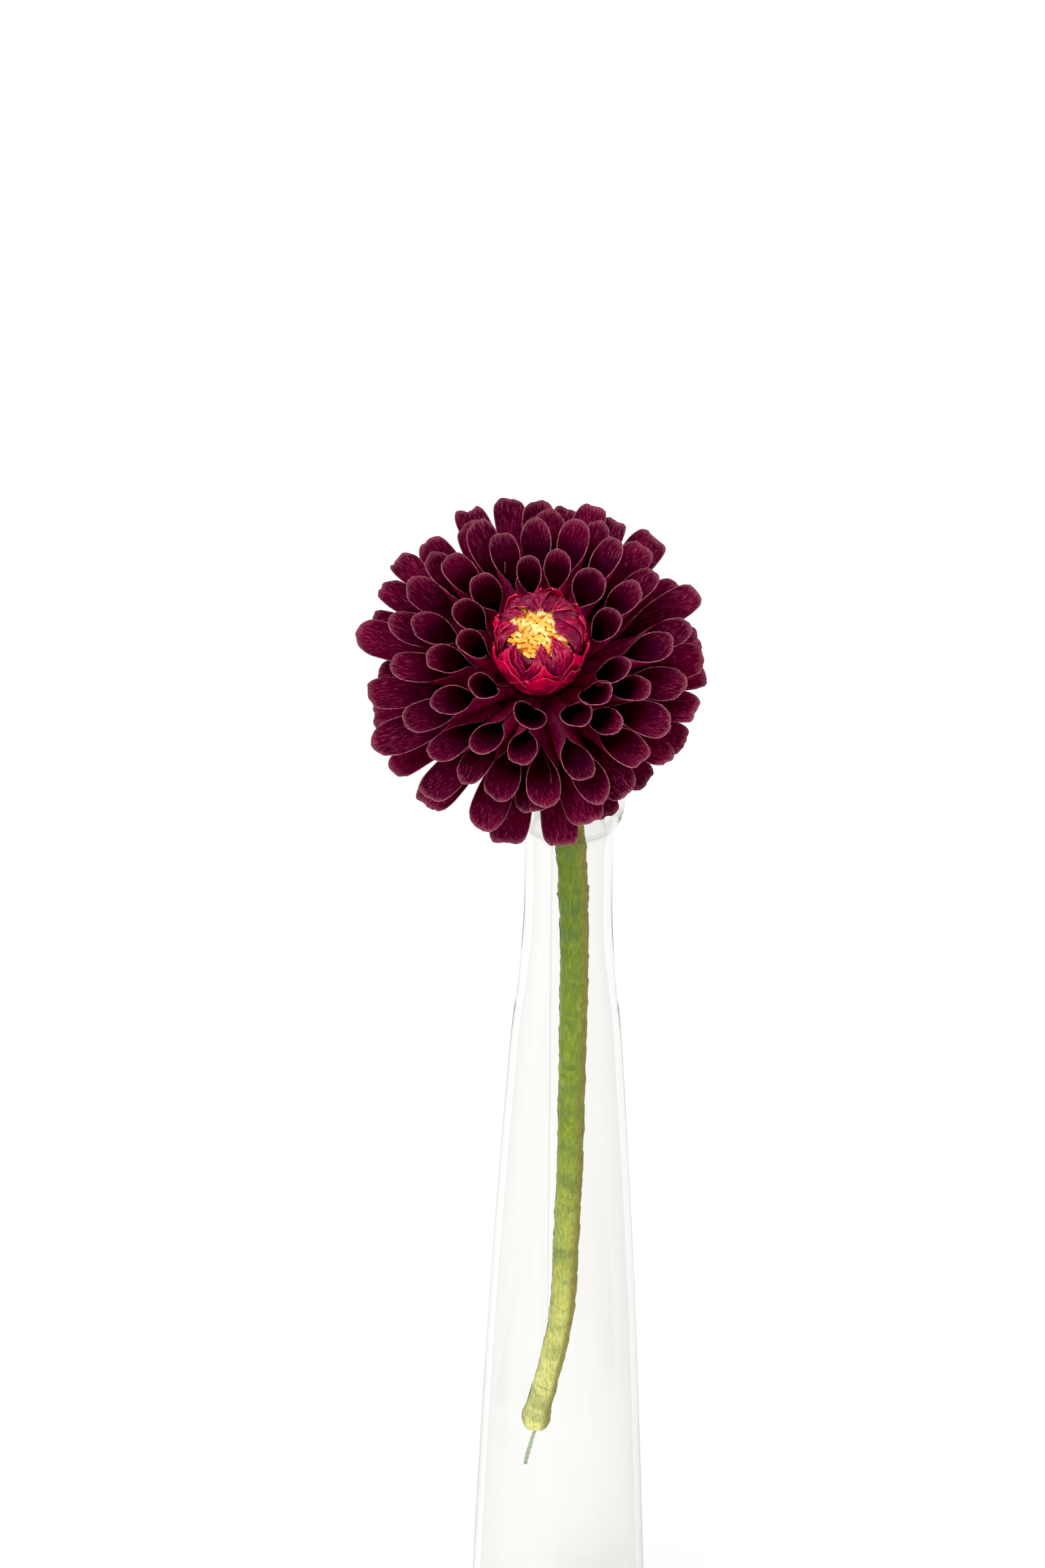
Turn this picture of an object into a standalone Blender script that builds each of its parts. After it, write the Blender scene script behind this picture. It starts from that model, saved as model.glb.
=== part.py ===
"""A crepe-paper ball dahlia standing in a slim conical glass bottle.

The bottle stands on the origin with its axis on +Z. The flower leans in its mouth and faces -Y.
All sizes are in metres and all angles in degrees.
"""

import math
import random
from collections import namedtuple

import bmesh
import bpy
from mathutils import Matrix, Vector

MERGE = 0.00002  # distance at which a turned shape's points count as one
GAP = 0.0003  # clearance between pieces that touch
SHARP_ANGLE = 40.0  # edges that bend more than this stay sharp

# The bottle
VASE_HEIGHT = 0.324
NECK_RADIUS = 0.0118
LIP_RADIUS = 0.0147
LIP_BOTTOM = 0.3095
LIP_ROUND = 0.0022  # of the lip's inner edge
LIP_DEGREES = (105, 75, 45, 20, 0, -25, -48, -68)
MOUTH_RADIUS = 0.0095
NECK_BOTTOM = 0.2995  # down to here the neck is straight
SHOULDER_HEIGHT = 0.280  # where the neck widens into the body
SHOULDER_HALF = 0.006
SHOULDER_END = 0.258
SHOULDER_END_RADIUS = 0.01375
FOOT_RADIUS = 0.0290
HEEL_RADIUS = 0.0055
HEEL_DEGREES = (0, -30, -60, -90)
WALL = 0.0022
FLOOR_THICKNESS = 0.0055
FLOOR_CROWN = 0.0012  # how far the floor rises in its middle
FLOOR_CORNER = 0.0050  # height of the rounding between the floor and the wall
VASE_STEPS = 36

# The head: where its middle stands, and how far its axis leans from upright towards -Y
BUD_CENTRE = Vector((-0.0084, -0.0310, 0.3726))
HEAD_LEAN = 46.0
BUD_CENTRE_DEPTH = 0.017  # of the bud's middle above the head's own origin, along its axis

# The core that the petals are glued to, as (radius, height) pairs on the head's axis from the top down
CORE_BOTTOM = -0.009
CORE_OUTSIDE = (
    (0.0, 0.0042), (0.0058, 0.0042), (0.0118, 0.0018), (0.0155, -0.0020),
    (0.0155, -0.0060), (0.0110, -0.0084), (0.0064, CORE_BOTTOM),
)
CORE_STEPS = 18

# The stem: points on its centre line below the head, after a start that runs straight on from the head's axis
STEM_RADIUS = 0.0039
STEM_ROUTE = (
    (-0.0084, -0.0094, 0.3517),
    (-0.0084, -0.0067, 0.3491),
    (-0.0077, -0.0038, 0.3430),
    (-0.0062, -0.0030, 0.3360),
    (-0.0042, -0.0035, 0.3285),
    (-0.0022, -0.0044, 0.3205),
    (-0.0005, -0.0049, 0.3120),
    (0.0008, -0.0032, 0.2994),
    (0.0018, -0.0010, 0.2752),
    (0.0020, 0.0013, 0.2499),
    (0.0020, 0.0038, 0.2231),
    (0.0019, 0.0063, 0.1952),
    (0.0013, 0.0090, 0.1657),
    (0.0007, 0.0112, 0.1409),
    (-0.0004, 0.0123, 0.1285),
    (-0.0023, 0.0134, 0.1160),
    (-0.0046, 0.0145, 0.1032),
    (-0.0065, 0.0151, 0.0945),
    (-0.0074, 0.0155, 0.0892),
)
STEM_PLAIN = 0.009  # length under the head where the tape lies flat, inside the calyx
STEM_TURN = 0.0085  # how far apart the tape's overlaps are
STEM_SWELL = 0.00035  # how far the tape stands proud at each overlap
STEM_POINT_SPACING = 0.0058
STEM_TIP = Vector((-0.0075, 0.0158, 0.0842))
STEM_TIP_RADIUS = 0.0016
WIRE_RADIUS = 0.0006
WIRE_BORE = 0.00095
WIRE_TOP = 0.0015  # how far the wire reaches into the head, above its origin
WIRE_TAIL = ((-0.0090, 0.0161, 0.0775), (-0.0101, 0.0163, 0.0725), (-0.0111, 0.0164, 0.0676))
BORE_OVERSHOOT = 0.002  # how far the bore's cutter runs past the stem's lower end

# The petals. A row's root is a radius from the head's axis and a height along it.
PETAL_THICKNESS = 0.0006
PETAL_SEED = 25
ROLL_RADIUS = 0.0018  # of the closed roll at a petal's root
ROLL_GROWTH = 1.2  # power of the length by which the roll widens to its mouth
EDGE_CROWDING = 0.7  # power that moves a petal's columns of points towards its cut edges
# The shares of a petal's length at which it has points, in the first row and in the others
FINE_STEPS = (0.08, 0.50, 0.78, 1.0)
PLAIN_STEPS = (0.08, 0.62, 1.0)
# Each tip is its clock, clockwise from the top of the flower's face, its distance from the axis in mm, and
# for some petals a width that goes with it, as a share of the row's.
Row = namedtuple(
    "Row", "tips tip_height root leave arrive wrap mouth opening flat arch squareness columns steps",
)
ROWS = (
    Row(
        tips=(
            (353, 22.4, 0.66), (12, 24.4, 0.74), (36, 23.3, 0.92),
            (72, 20.2, 1.0), (112, 22.2, 1.0), (134, 22.0, 0.92),
            (154, 23.8, 1.0), (190, 22.0, 1.14), (231, 20.8, 0.98),
            (268, 19.8, 1.04), (294, 22.4, 1.0), (318, 22.7, 1.0),
        ),
        tip_height=0.0185, root=(0.0086, 0.0000), leave=50, arrive=24,
        wrap=1.85, mouth=0.0045, opening=(0.46, 0.94), flat=0.88, arch=0.48, squareness=2.2,
        columns=4, steps=FINE_STEPS,
    ),
    Row(
        tips=(
            (342, 31.2), (358, 33.0), (16, 34.0), (35, 33.1),
            (57, 28.6), (90, 32.0), (116, 28.8), (139, 28.6),
            (164, 35.4), (188, 31.0), (207, 31.5), (237, 30.1),
            (262, 27.4), (280, 31.4), (314, 32.5),
        ),
        tip_height=0.0166, root=(0.0076, -0.0020), leave=64, arrive=38,
        wrap=1.80, mouth=0.0042, opening=(0.44, 0.92), flat=0.80, arch=0.44, squareness=2.2,
        columns=4, steps=PLAIN_STEPS,
    ),
    Row(
        tips=(
            (335, 37.3), (4, 37.0), (24, 37.5), (54, 35.3),
            (81, 37.0), (104, 36.0), (123, 37.0), (140, 37.7),
            (159, 40.4), (179, 39.4), (196, 39.6), (207, 38.5),
            (221, 38.1), (239, 37.5), (262, 35.8),
            (281, 37.2), (298, 36.9), (311, 36.5),
        ),
        tip_height=0.0130, root=(0.0068, -0.0042), leave=76, arrive=52,
        wrap=1.62, mouth=0.0046, opening=(0.38, 0.90), flat=0.68, arch=0.38, squareness=2.2,
        columns=4, steps=PLAIN_STEPS,
    ),
    Row(
        tips=(
            (335, 41.4), (359, 43.0), (18, 43.9), (27, 42.6), (40, 40.0),
            (64, 43.6), (89, 39.8), (110, 40.0), (131, 40.3),
            (149, 40.6), (164, 43.4), (182, 39.0), (198, 45.2),
            (217, 43.8), (241, 45.2), (258, 42.4),
            (279, 45.0), (296, 43.6), (318, 42.0),
        ),
        tip_height=0.0060, root=(0.0066, -0.0060), leave=86, arrive=64,
        wrap=1.35, mouth=0.0051, opening=(0.30, 0.85), flat=0.55, arch=0.30, squareness=2.9,
        columns=4, steps=PLAIN_STEPS,
    ),
    Row(
        tips=(
            (350, 48.7), (9, 46.0), (38, 47.2), (56, 42.6),
            (76, 41.0), (93, 40.6), (117, 40.0), (139, 39.4),
            (156, 39.6), (173, 45.4), (190, 45.0), (219, 43.4),
            (234, 43.8), (254, 42.6), (268, 39.6),
            (289, 44.9), (311, 48.2), (337, 47.6),
        ),
        tip_height=-0.0030, root=(0.0062, -0.0074), leave=97, arrive=86,
        wrap=1.15, mouth=0.0056, opening=(0.26, 0.80), flat=0.45, arch=0.22, squareness=3.2,
        columns=3, steps=PLAIN_STEPS,
    ),
)
MOST_WRAP = 2.75  # half the turn, in radians, that the paper makes round the roll where it is closed
HANDLE_SHARE = 0.36  # of the distance from a petal's root to its tip, for the handles of its spine
LOOK_AHEAD = 0.01  # share of a petal's length over which its spine's direction is taken
TIP_HEIGHT_SWAY = (0.0008, 0.0010, 0.0014, 0.0018, 0.0028)
WIDTH_SWAY = 0.10
TWIST_SWAY = 20.0

# The bud: the outline that its scales stand on, as (radius, height) pairs up the head's axis
BUD_OUTLINE = (
    (0.0050, 0.0045), (0.0079, 0.0069), (0.0093, 0.0097), (0.0098, 0.0132),
    (0.0099, 0.0176), (0.0098, 0.0212), (0.0093, 0.0240), (0.0085, 0.0260),
)
BUD_FLOOR = ((0.0, 0.0074), (0.0044, 0.0092), (0.0070, 0.0120))  # inside the bud, from its middle outwards
BUD_CUP_FROM = 3  # the point of the outline from which the bud is an open cup
BUD_CUP_RISE = 0.0002  # how far the cup's inner points lie above its outer ones
BUD_WALL = 0.0014
BUD_STEPS = 16
EGG_INSET = 0.0005  # how far the egg lies inside the outline that the scales stand on
SCALE_THICKNESS = 0.0016
SCALE_TAPER = 1.6  # power of the length by which a scale narrows
SCALE_POINT = 0.02  # share of its width that is left at a scale's point
SCALE_STAGGER = 0.0004  # how much farther out some scales of a ring stand, so that neighbours lap cleanly
Scales = namedtuple("Scales", "count phase base tip half_width lift rise")
SCALE_RINGS = (
    Scales(count=6, phase=17, base=0.0105, tip=0.0204, half_width=0.0050, lift=0.0003, rise=0.0010),
    Scales(count=6, phase=50, base=0.0147, tip=0.0242, half_width=0.0050, lift=0.0002, rise=0.0009),
    Scales(count=7, phase=15, base=0.0194, tip=0.0282, half_width=0.0047, lift=0.0002, rise=0.0004),
)

# The florets: a dome with chips of paper standing on it in rings, each a distance from the axis and a count
DOME_RADIUS = 0.0140
DOME_CENTRE = 0.0134
DOME_DEGREES = (80, 70, 64.5)
DOME_FOOT = ((0.0060, 0.0246), (0.0060, 0.0150), (0.0042, 0.0106), (0.0, 0.0098))
DOME_STEPS = 14
CHIP_SIZE = Vector((0.0026, 0.00105, 0.0016))
CHIP_TURN = 20  # of a chip about its own axis, and a quarter turn more for every second one
CHIP_RINGS = ((0.0, 1), (0.0018, 5), (0.0032, 9), (0.0046, 13))

# The calyx: a collar round the stem, as (radius, height) pairs, and the sepals that spread from it
CALYX_TOP = CORE_BOTTOM - GAP
CALYX_BOTTOM = -0.0165
CALYX_HOLE = 0.0043
CALYX_OUTSIDE = ((0.0064, CALYX_TOP), (0.0072, CALYX_TOP - 0.0012), (0.0064, -0.0132), (0.0052, CALYX_BOTTOM))
CALYX_STEPS = 20
SEPALS = 7
SEPAL_ROOT = Vector((0.0052, -0.0112))
SEPAL_LENGTH = 0.0125
SEPAL_HALF_WIDTH = 0.0029
SEPAL_FALL = 0.0035  # how far the tip bends back
SEPAL_CUP = 0.0006
SEPAL_THICKNESS = 0.0009

COLOURS = {
    "glass": ((0.90, 0.93, 0.90), 0.03),
    "burgundy_crepe": ((0.115, 0.006, 0.030), 0.85),
    "crimson_lacquered_crepe": ((0.42, 0.006, 0.050), 0.35),
    "yolk_paper": ((0.86, 0.44, 0.09), 0.70),
    "green_tape": ((0.14, 0.27, 0.05), 0.75),
    "wire_tape": ((0.17, 0.33, 0.16), 0.70),
    "leaf_crepe": ((0.10, 0.20, 0.05), 0.80),
}


def clear_scene():
    for obj in list(bpy.data.objects):
        bpy.data.objects.remove(obj)


def named_collection(name):
    made = bpy.data.collections.new(name)
    bpy.context.scene.collection.children.link(made)
    return made


def finish_material(name):
    """The named colour as a material. The glass also lets light through."""
    colour, roughness = COLOURS[name]
    made = bpy.data.materials.new(name)
    made.use_nodes = True
    shader = made.node_tree.nodes["Principled BSDF"]
    shader.inputs["Base Color"].default_value = (*colour, 1.0)
    shader.inputs["Roughness"].default_value = roughness
    shader.inputs["Metallic"].default_value = 0.0
    if name == "glass":
        shader.inputs["Transmission Weight"].default_value = 1.0
    return made


def place_object(name, data, collection, material_name=None):
    obj = bpy.data.objects.new(name, data)
    collection.objects.link(obj)
    if material_name:
        data.materials.append(finish_material(material_name))
    return obj


def settled_mesh(obj):
    """The object's mesh with its modifiers applied."""
    graph = bpy.context.evaluated_depsgraph_get()
    return bpy.data.meshes.new_from_object(obj.evaluated_get(graph))


def mesh_from(bm, name):
    mesh = bpy.data.meshes.new(name)
    bm.to_mesh(mesh)
    bm.free()
    return mesh


def turned_object(name, profile, collection, steps, material_name=None):
    """A profile of (radius, height) pairs turned about +Z. It ends running down the outer side.

    A profile that ends where it starts is a ring round a hole.
    """
    bm = bmesh.new()
    ring = profile[0] == profile[-1]
    corners = [bm.verts.new((radius, 0.0, height)) for radius, height in profile[:-1 if ring else None]]
    for before, after in zip(corners, corners[1:] + corners[:1] if ring else corners[1:]):
        bm.edges.new((before, after))
    obj = place_object(name, mesh_from(bm, name), collection, material_name)
    screw = obj.modifiers.new("Turn", "SCREW")
    screw.steps = screw.render_steps = steps
    screw.use_merge_vertices = True
    screw.merge_threshold = MERGE
    screw.use_smooth_shade = True
    return obj


def tube_object(name, points, radii, collection, resolution, material_name=None):
    """A closed tube along the points, with its own radius at each of them."""
    curve = bpy.data.curves.new(name, "CURVE")
    curve.dimensions = "3D"
    curve.bevel_depth = 1.0
    curve.bevel_resolution = resolution
    curve.use_fill_caps = True
    spline = curve.splines.new("POLY")
    spline.points.add(len(points) - 1)
    for point, place, radius in zip(spline.points, points, radii):
        point.co = (*place, 1.0)
        point.radius = radius
    drawn = place_object(name, curve, collection)
    bm = bmesh.new()
    bm.from_mesh(settled_mesh(drawn))
    bpy.data.objects.remove(drawn)
    bmesh.ops.remove_doubles(bm, verts=bm.verts, dist=MERGE / 4)
    return place_object(name, mesh_from(bm, name), collection, material_name)


def shaped_blade(name, columns, rows, point_at, thickness, offset, frame, collection):
    """A sheet of that many columns and rows of faces, with a wall.

    point_at gives each point's place from its length, 0 to 1, and its place across, -1 to 1.
    """
    bm = bmesh.new()
    bmesh.ops.create_grid(bm, x_segments=columns, y_segments=rows, size=1.0)
    for vertex in bm.verts:
        vertex.co = point_at((vertex.co.y + 1) / 2, vertex.co.x)
    blade = place_object(name, mesh_from(bm, name), collection)
    shell = blade.modifiers.new("Wall", "SOLIDIFY")
    shell.thickness = thickness
    shell.offset = offset
    blade.matrix_world = frame


def fill_pockets(mesh):
    """Take away the sealed pockets that crossing blades leave between them, so the joint is solid."""
    bm = bmesh.new()
    bm.from_mesh(mesh)
    unseen = set(bm.faces)
    while unseen:
        shell = {unseen.pop()}
        waiting = list(shell)
        while waiting:
            face = waiting.pop()
            around = {
                near for edge in face.edges if len(edge.link_faces) == 2 for near in edge.link_faces
            } & unseen
            unseen -= around
            shell |= around
            waiting.extend(around)
        six_volumes = 0.0
        for face in shell:
            corners = [vertex.co for vertex in face.verts]
            for first, second in zip(corners[1:], corners[2:]):
                six_volumes += corners[0].dot(first.cross(second))
        if six_volumes < 0:
            bmesh.ops.delete(bm, geom=list(shell), context="FACES")
    bm.to_mesh(mesh)
    bm.free()


def join_all(base, repeats, name, collection, material_name):
    """One closed mesh of the base and every repeat in the collection, by one Boolean union."""
    for obj in [base, *repeats.objects]:
        obj.modifiers.new("Triangles", "TRIANGULATE")
    union = base.modifiers.new("Join", "BOOLEAN")
    union.operation = "UNION"
    union.solver = "MANIFOLD"
    union.operand_type = "COLLECTION"
    union.collection = repeats
    mesh = settled_mesh(base)
    fill_pockets(mesh)
    mesh.materials.clear()
    joined = place_object(name, mesh, collection, material_name)
    joined.matrix_world = base.matrix_world
    for obj in [base, *repeats.objects]:
        bpy.data.objects.remove(obj)
    bpy.data.collections.remove(repeats)
    mesh.shade_smooth()
    mesh.set_sharp_from_angle(angle=math.radians(SHARP_ANGLE))
    return joined


def head_frame():
    """The head's own frame: x to the side, y up the flower's face, z out along its axis."""
    lean = Matrix.Rotation(math.radians(HEAD_LEAN), 4, "X")
    origin = BUD_CENTRE - lean.to_3x3() @ Vector((0.0, 0.0, BUD_CENTRE_DEPTH))
    return Matrix.Translation(origin) @ lean


def vase_outline():
    """The bottle's wall as (radius, height) pairs: up the inside, over the lip and down the outside."""
    inner_foot = FOOT_RADIUS - WALL
    inside = [
        (0.0, FLOOR_THICKNESS + FLOOR_CROWN),
        (inner_foot * 0.62, FLOOR_THICKNESS),
        (inner_foot - FLOOR_CORNER * 0.7, FLOOR_THICKNESS + FLOOR_CORNER * 0.2),
        (inner_foot - FLOOR_CORNER * 0.12, FLOOR_THICKNESS + FLOOR_CORNER),
        (SHOULDER_END_RADIUS - WALL, SHOULDER_END),
        (MOUTH_RADIUS + 0.0002, SHOULDER_HEIGHT),
        (MOUTH_RADIUS, LIP_BOTTOM),
        (MOUTH_RADIUS, VASE_HEIGHT - LIP_ROUND),
    ]
    lip = []
    lip_start = MOUTH_RADIUS + LIP_ROUND
    lip_middle = (VASE_HEIGHT + LIP_BOTTOM) / 2
    lip_half = (VASE_HEIGHT - LIP_BOTTOM) / 2
    for degrees in LIP_DEGREES:
        turn = math.radians(degrees)
        lip.append((
            lip_start + (LIP_RADIUS - lip_start) * math.cos(turn),
            lip_middle + lip_half * math.sin(turn),
        ))
    outside = [
        (NECK_RADIUS, LIP_BOTTOM),
        (NECK_RADIUS, NECK_BOTTOM),
        (NECK_RADIUS + 0.0002, SHOULDER_HEIGHT + SHOULDER_HALF),
        (NECK_RADIUS + 0.0009, SHOULDER_HEIGHT - SHOULDER_HALF),
        (SHOULDER_END_RADIUS, SHOULDER_END),
    ]
    heel = []
    for degrees in HEEL_DEGREES:
        turn = math.radians(degrees)
        heel.append((
            FOOT_RADIUS - HEEL_RADIUS * (1 - math.cos(turn)),
            HEEL_RADIUS * (1 + math.sin(turn)),
        ))
    return inside + lip + outside + heel + [(0.0, 0.0)]


def build_vase(collection):
    turned_object("vase", vase_outline(), collection, VASE_STEPS, "glass")


def bezier(start, first, second, end, share):
    rest = 1 - share
    return (
        start * rest**3 + first * (3 * rest**2 * share) + second * (3 * rest * share**2) + end * share**3
    )


def smooth_path(points, spacing):
    """Points about this far apart on a smooth curve through the given ones (Catmull-Rom)."""
    ends = [2 * points[0] - points[1], *points, 2 * points[-1] - points[-2]]
    path = [points[0]]
    for before, here, there, after in zip(ends, ends[1:], ends[2:], ends[3:]):
        steps = max(1, round((there - here).length / spacing))
        for step in range(1, steps + 1):
            share = step / steps
            path.append(bezier(
                here, here + (there - before) / 6, there - (after - here) / 6, there, share
            ))
    return path


def stem_line(frame):
    """The stem's centre line from the head's core down to its pinched end."""
    top = frame @ Vector((0.0, 0.0, CORE_BOTTOM - GAP))
    return smooth_path([top, *map(Vector, STEM_ROUTE)], STEM_POINT_SPACING)


def stem_radius(distance):
    """The tape's radius at this distance along the stem: it swells up to each overlap, then drops."""
    if distance < STEM_PLAIN:
        return STEM_RADIUS
    return STEM_RADIUS + STEM_SWELL * ((distance / STEM_TURN) % 1.0)


def build_stem_and_wire(frame, collection):
    line = stem_line(frame)
    travelled = 0.0
    radii = [STEM_RADIUS]
    for before, here in zip(line, line[1:]):
        travelled += (here - before).length
        radii.append(stem_radius(travelled))
    stem = tube_object("stem", line + [STEM_TIP], radii + [STEM_TIP_RADIUS], collection, 2, "green_tape")

    above = frame @ Vector((0.0, 0.0, -CORE_BOTTOM))
    beyond = STEM_TIP + (STEM_TIP - line[-1]).normalized() * BORE_OVERSHOOT
    cutters = named_collection("cutters")
    bore = tube_object("wire_bore", [above, *line, beyond], [WIRE_BORE] * (len(line) + 2), cutters, 1)
    bore.hide_render = True
    bore.display_type = "WIRE"
    cut = stem.modifiers.new("Bore", "BOOLEAN")
    cut.operation = "DIFFERENCE"
    cut.solver = "EXACT"
    cut.object = bore

    wire_top = frame @ Vector((0.0, 0.0, WIRE_TOP))
    tail = smooth_path([STEM_TIP, *map(Vector, WIRE_TAIL)], STEM_POINT_SPACING)
    points = [wire_top, *line, *tail]
    tube_object("wire", points, [WIRE_RADIUS] * len(points), collection, 1, "wire_tape")


def petal_point(row, tip, width, twist, length, across):
    """A point of a petal in the head's frame, before it is turned to its clock.

    length runs from 0 at the root to 1 at the tip, and across from -1 to 1 between the two cut edges.
    The spine is a curve in the upright plane, and the paper is rolled about it into a cone that opens.
    """
    leave = math.radians(row.leave)
    arrive = math.radians(row.arrive)
    start = Vector(row.root)
    end = Vector(tip)
    handle = (end - start).length * HANDLE_SHARE
    first = start + Vector((math.sin(leave), math.cos(leave))) * handle
    second = end - Vector((math.sin(arrive), math.cos(arrive))) * handle
    outline = math.sqrt(max(0.0, 1 - abs(across) ** row.squareness))
    share = length * (1 - row.arch * (1 - outline))
    spine = bezier(start, first, second, end, share)
    ahead = bezier(start, first, second, end, share + LOOK_AHEAD)
    along = (ahead - spine).normalized()
    opens, open_by = row.opening
    opened = min(max((share - opens) / (open_by - opens), 0.0), 1.0)
    opened = opened * opened * (3 - 2 * opened)
    radius = ROLL_RADIUS + (row.mouth * width - ROLL_RADIUS) * share**ROLL_GROWTH
    wrap = MOST_WRAP + (row.wrap - MOST_WRAP) * opened
    turn = wrap * across
    rise = row.flat * radius * (1 - math.cos(turn))
    side = radius * math.sin(turn)
    roll = math.radians(twist) * share
    side, rise = (
        side * math.cos(roll) - rise * math.sin(roll),
        side * math.sin(roll) + rise * math.cos(roll),
    )
    return Vector((side, spine.x - along.y * rise, spine.y + along.x * rise))


def petal_settings():
    """One (row, clock, tip, width, twist) for each petal, with the same small chances every time."""
    chance = random.Random(PETAL_SEED)
    for row, height_sway in zip(ROWS, TIP_HEIGHT_SWAY):
        for clock, tip_radius, *own_width in row.tips:
            tip = (tip_radius / 1000, row.tip_height + chance.uniform(-1, 1) * height_sway)
            width = (1 + chance.uniform(-1, 1) * WIDTH_SWAY) * (own_width[0] if own_width else 1)
            twist = chance.uniform(-1, 1) * TWIST_SWAY
            yield row, clock, tip, width, twist


def petal_shape(row, clock, tip, width, twist):
    """What puts a flat sheet's points on this petal."""
    turn = Matrix.Rotation(math.radians(-clock), 3, "Z")
    last = len(row.steps) - 1

    def point_at(length, across):
        step = row.steps[round(length * last)]
        spread = math.copysign(abs(across) ** EDGE_CROWDING, across)
        return turn @ petal_point(row, tip, width, twist, step, spread)

    return point_at


def build_petals(frame, collection):
    repeats = named_collection("petal_blades")
    for number, petal in enumerate(petal_settings()):
        row = petal[0]
        shaped_blade(
            f"petal_{number}", row.columns, len(row.steps) - 1, petal_shape(*petal),
            PETAL_THICKNESS, 0.0, frame, repeats,
        )
    bore_top = WIRE_TOP + GAP
    bore = ((WIRE_BORE, CORE_BOTTOM), (WIRE_BORE, bore_top), (0.0, bore_top))
    core = turned_object("core", [*CORE_OUTSIDE, *bore], collection, CORE_STEPS)
    core.matrix_world = frame
    join_all(core, repeats, "petals", collection, "burgundy_crepe")


def outline_at(height):
    """The bud's radius at this height and the way out of its wall. Its last stretch runs on past the rim."""
    spans = list(zip(BUD_OUTLINE, BUD_OUTLINE[1:]))
    (low_r, low_z), (high_r, high_z) = next((span for span in spans if height <= span[1][1]), spans[-1])
    share = (height - low_z) / (high_z - low_z)
    slope = Vector((high_r - low_r, high_z - low_z)).normalized()
    return low_r + (high_r - low_r) * share, Vector((slope.y, -slope.x))


def scale_shape(ring, place):
    """What puts a flat sheet's points on a pointed scale of the bud."""
    spin = Matrix.Rotation(math.radians(ring.phase + 360 / ring.count * place), 3, "Z")
    stagger = SCALE_STAGGER * (place * 2 % ring.count) / ring.count

    def point_at(length, across):
        height = ring.base + (ring.tip - ring.base) * length
        radius, outward = outline_at(height)
        half = ring.half_width * max(1 - length**SCALE_TAPER, SCALE_POINT)
        lift = ring.lift + ring.rise * length + stagger
        turn = half * across / radius
        reach = radius + outward.x * lift
        return spin @ Vector((math.sin(turn) * reach, math.cos(turn) * reach, height + outward.y * lift))

    return point_at


def build_bud(frame, collection):
    repeats = named_collection("scale_blades")
    for ring in SCALE_RINGS:
        for place in range(ring.count):
            shaped_blade("scale", 2, 2, scale_shape(ring, place), SCALE_THICKNESS, 1.0, frame, repeats)
    inner = [
        (radius - EGG_INSET - BUD_WALL, height + BUD_CUP_RISE) for radius, height in BUD_OUTLINE[BUD_CUP_FROM:]
    ]
    outer = [(radius - EGG_INSET, height) for radius, height in reversed(BUD_OUTLINE)]
    profile = [*BUD_FLOOR, *inner, *outer, (0.0, BUD_OUTLINE[0][1])]
    egg = turned_object("egg", profile, collection, BUD_STEPS)
    egg.matrix_world = frame
    join_all(egg, repeats, "bud", collection, "crimson_lacquered_crepe")


def build_florets(frame, collection):
    repeats = named_collection("floret_chips")
    middle = Matrix.Translation((0.0, 0.0, DOME_CENTRE))
    lifted = Matrix.Translation((0.0, 0.0, DOME_RADIUS))
    for place_radius, count in CHIP_RINGS:
        lean = Matrix.Rotation(math.asin(place_radius / DOME_RADIUS), 4, "Y")
        for place in range(count):
            bm = bmesh.new()
            bmesh.ops.create_cube(bm, size=1.0)
            bmesh.ops.scale(bm, vec=CHIP_SIZE, verts=bm.verts)
            chip = place_object("chip", mesh_from(bm, "chip"), repeats)
            spin = Matrix.Rotation(2 * math.pi * place / count, 4, "Z")
            turned = Matrix.Rotation(math.radians(90 * (place % 2) + CHIP_TURN), 4, "Z")
            chip.matrix_world = frame @ middle @ spin @ lean @ lifted @ turned
    dome = [(0.0, DOME_CENTRE + DOME_RADIUS)]
    for degrees in DOME_DEGREES:
        turn = math.radians(degrees)
        dome.append((DOME_RADIUS * math.cos(turn), DOME_CENTRE + DOME_RADIUS * math.sin(turn)))
    egg = turned_object("middle", [*dome, *DOME_FOOT], collection, DOME_STEPS)
    egg.matrix_world = frame
    join_all(egg, repeats, "florets", collection, "yolk_paper")


def sepal_shape(place):
    """What puts a flat sheet's points on a sepal: it leaves the collar, spreads and bends back at its tip."""
    spin = Matrix.Rotation(2 * math.pi * place / SEPALS, 3, "Z")

    def point_at(length, across):
        half = SEPAL_HALF_WIDTH * math.sin(math.pi * (0.22 + 0.76 * length)) ** 0.8
        radius = SEPAL_ROOT.x + SEPAL_LENGTH * length
        height = SEPAL_ROOT.y - SEPAL_FALL * length**2 + SEPAL_CUP * across**2
        return spin @ Vector((half * across, radius, height))

    return point_at


def build_calyx(frame, collection):
    repeats = named_collection("sepal_blades")
    for place in range(SEPALS):
        shaped_blade("sepal", 2, 3, sepal_shape(place), SEPAL_THICKNESS, 0.0, frame, repeats)
    profile = [(CALYX_HOLE, CALYX_BOTTOM), (CALYX_HOLE, CALYX_TOP), *CALYX_OUTSIDE, (CALYX_HOLE, CALYX_BOTTOM)]
    collar = turned_object("collar", profile, collection, CALYX_STEPS)
    collar.matrix_world = frame
    join_all(collar, repeats, "calyx", collection, "leaf_crepe")


def main():
    clear_scene()
    flower = named_collection("paper_dahlia_in_bottle")
    frame = head_frame()
    build_vase(flower)
    build_stem_and_wire(frame, flower)
    build_calyx(frame, flower)
    build_petals(frame, flower)
    build_bud(frame, flower)
    build_florets(frame, flower)


main()
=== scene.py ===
import math
import random

import bmesh
import bpy
from mathutils import Matrix, Vector, noise


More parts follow.
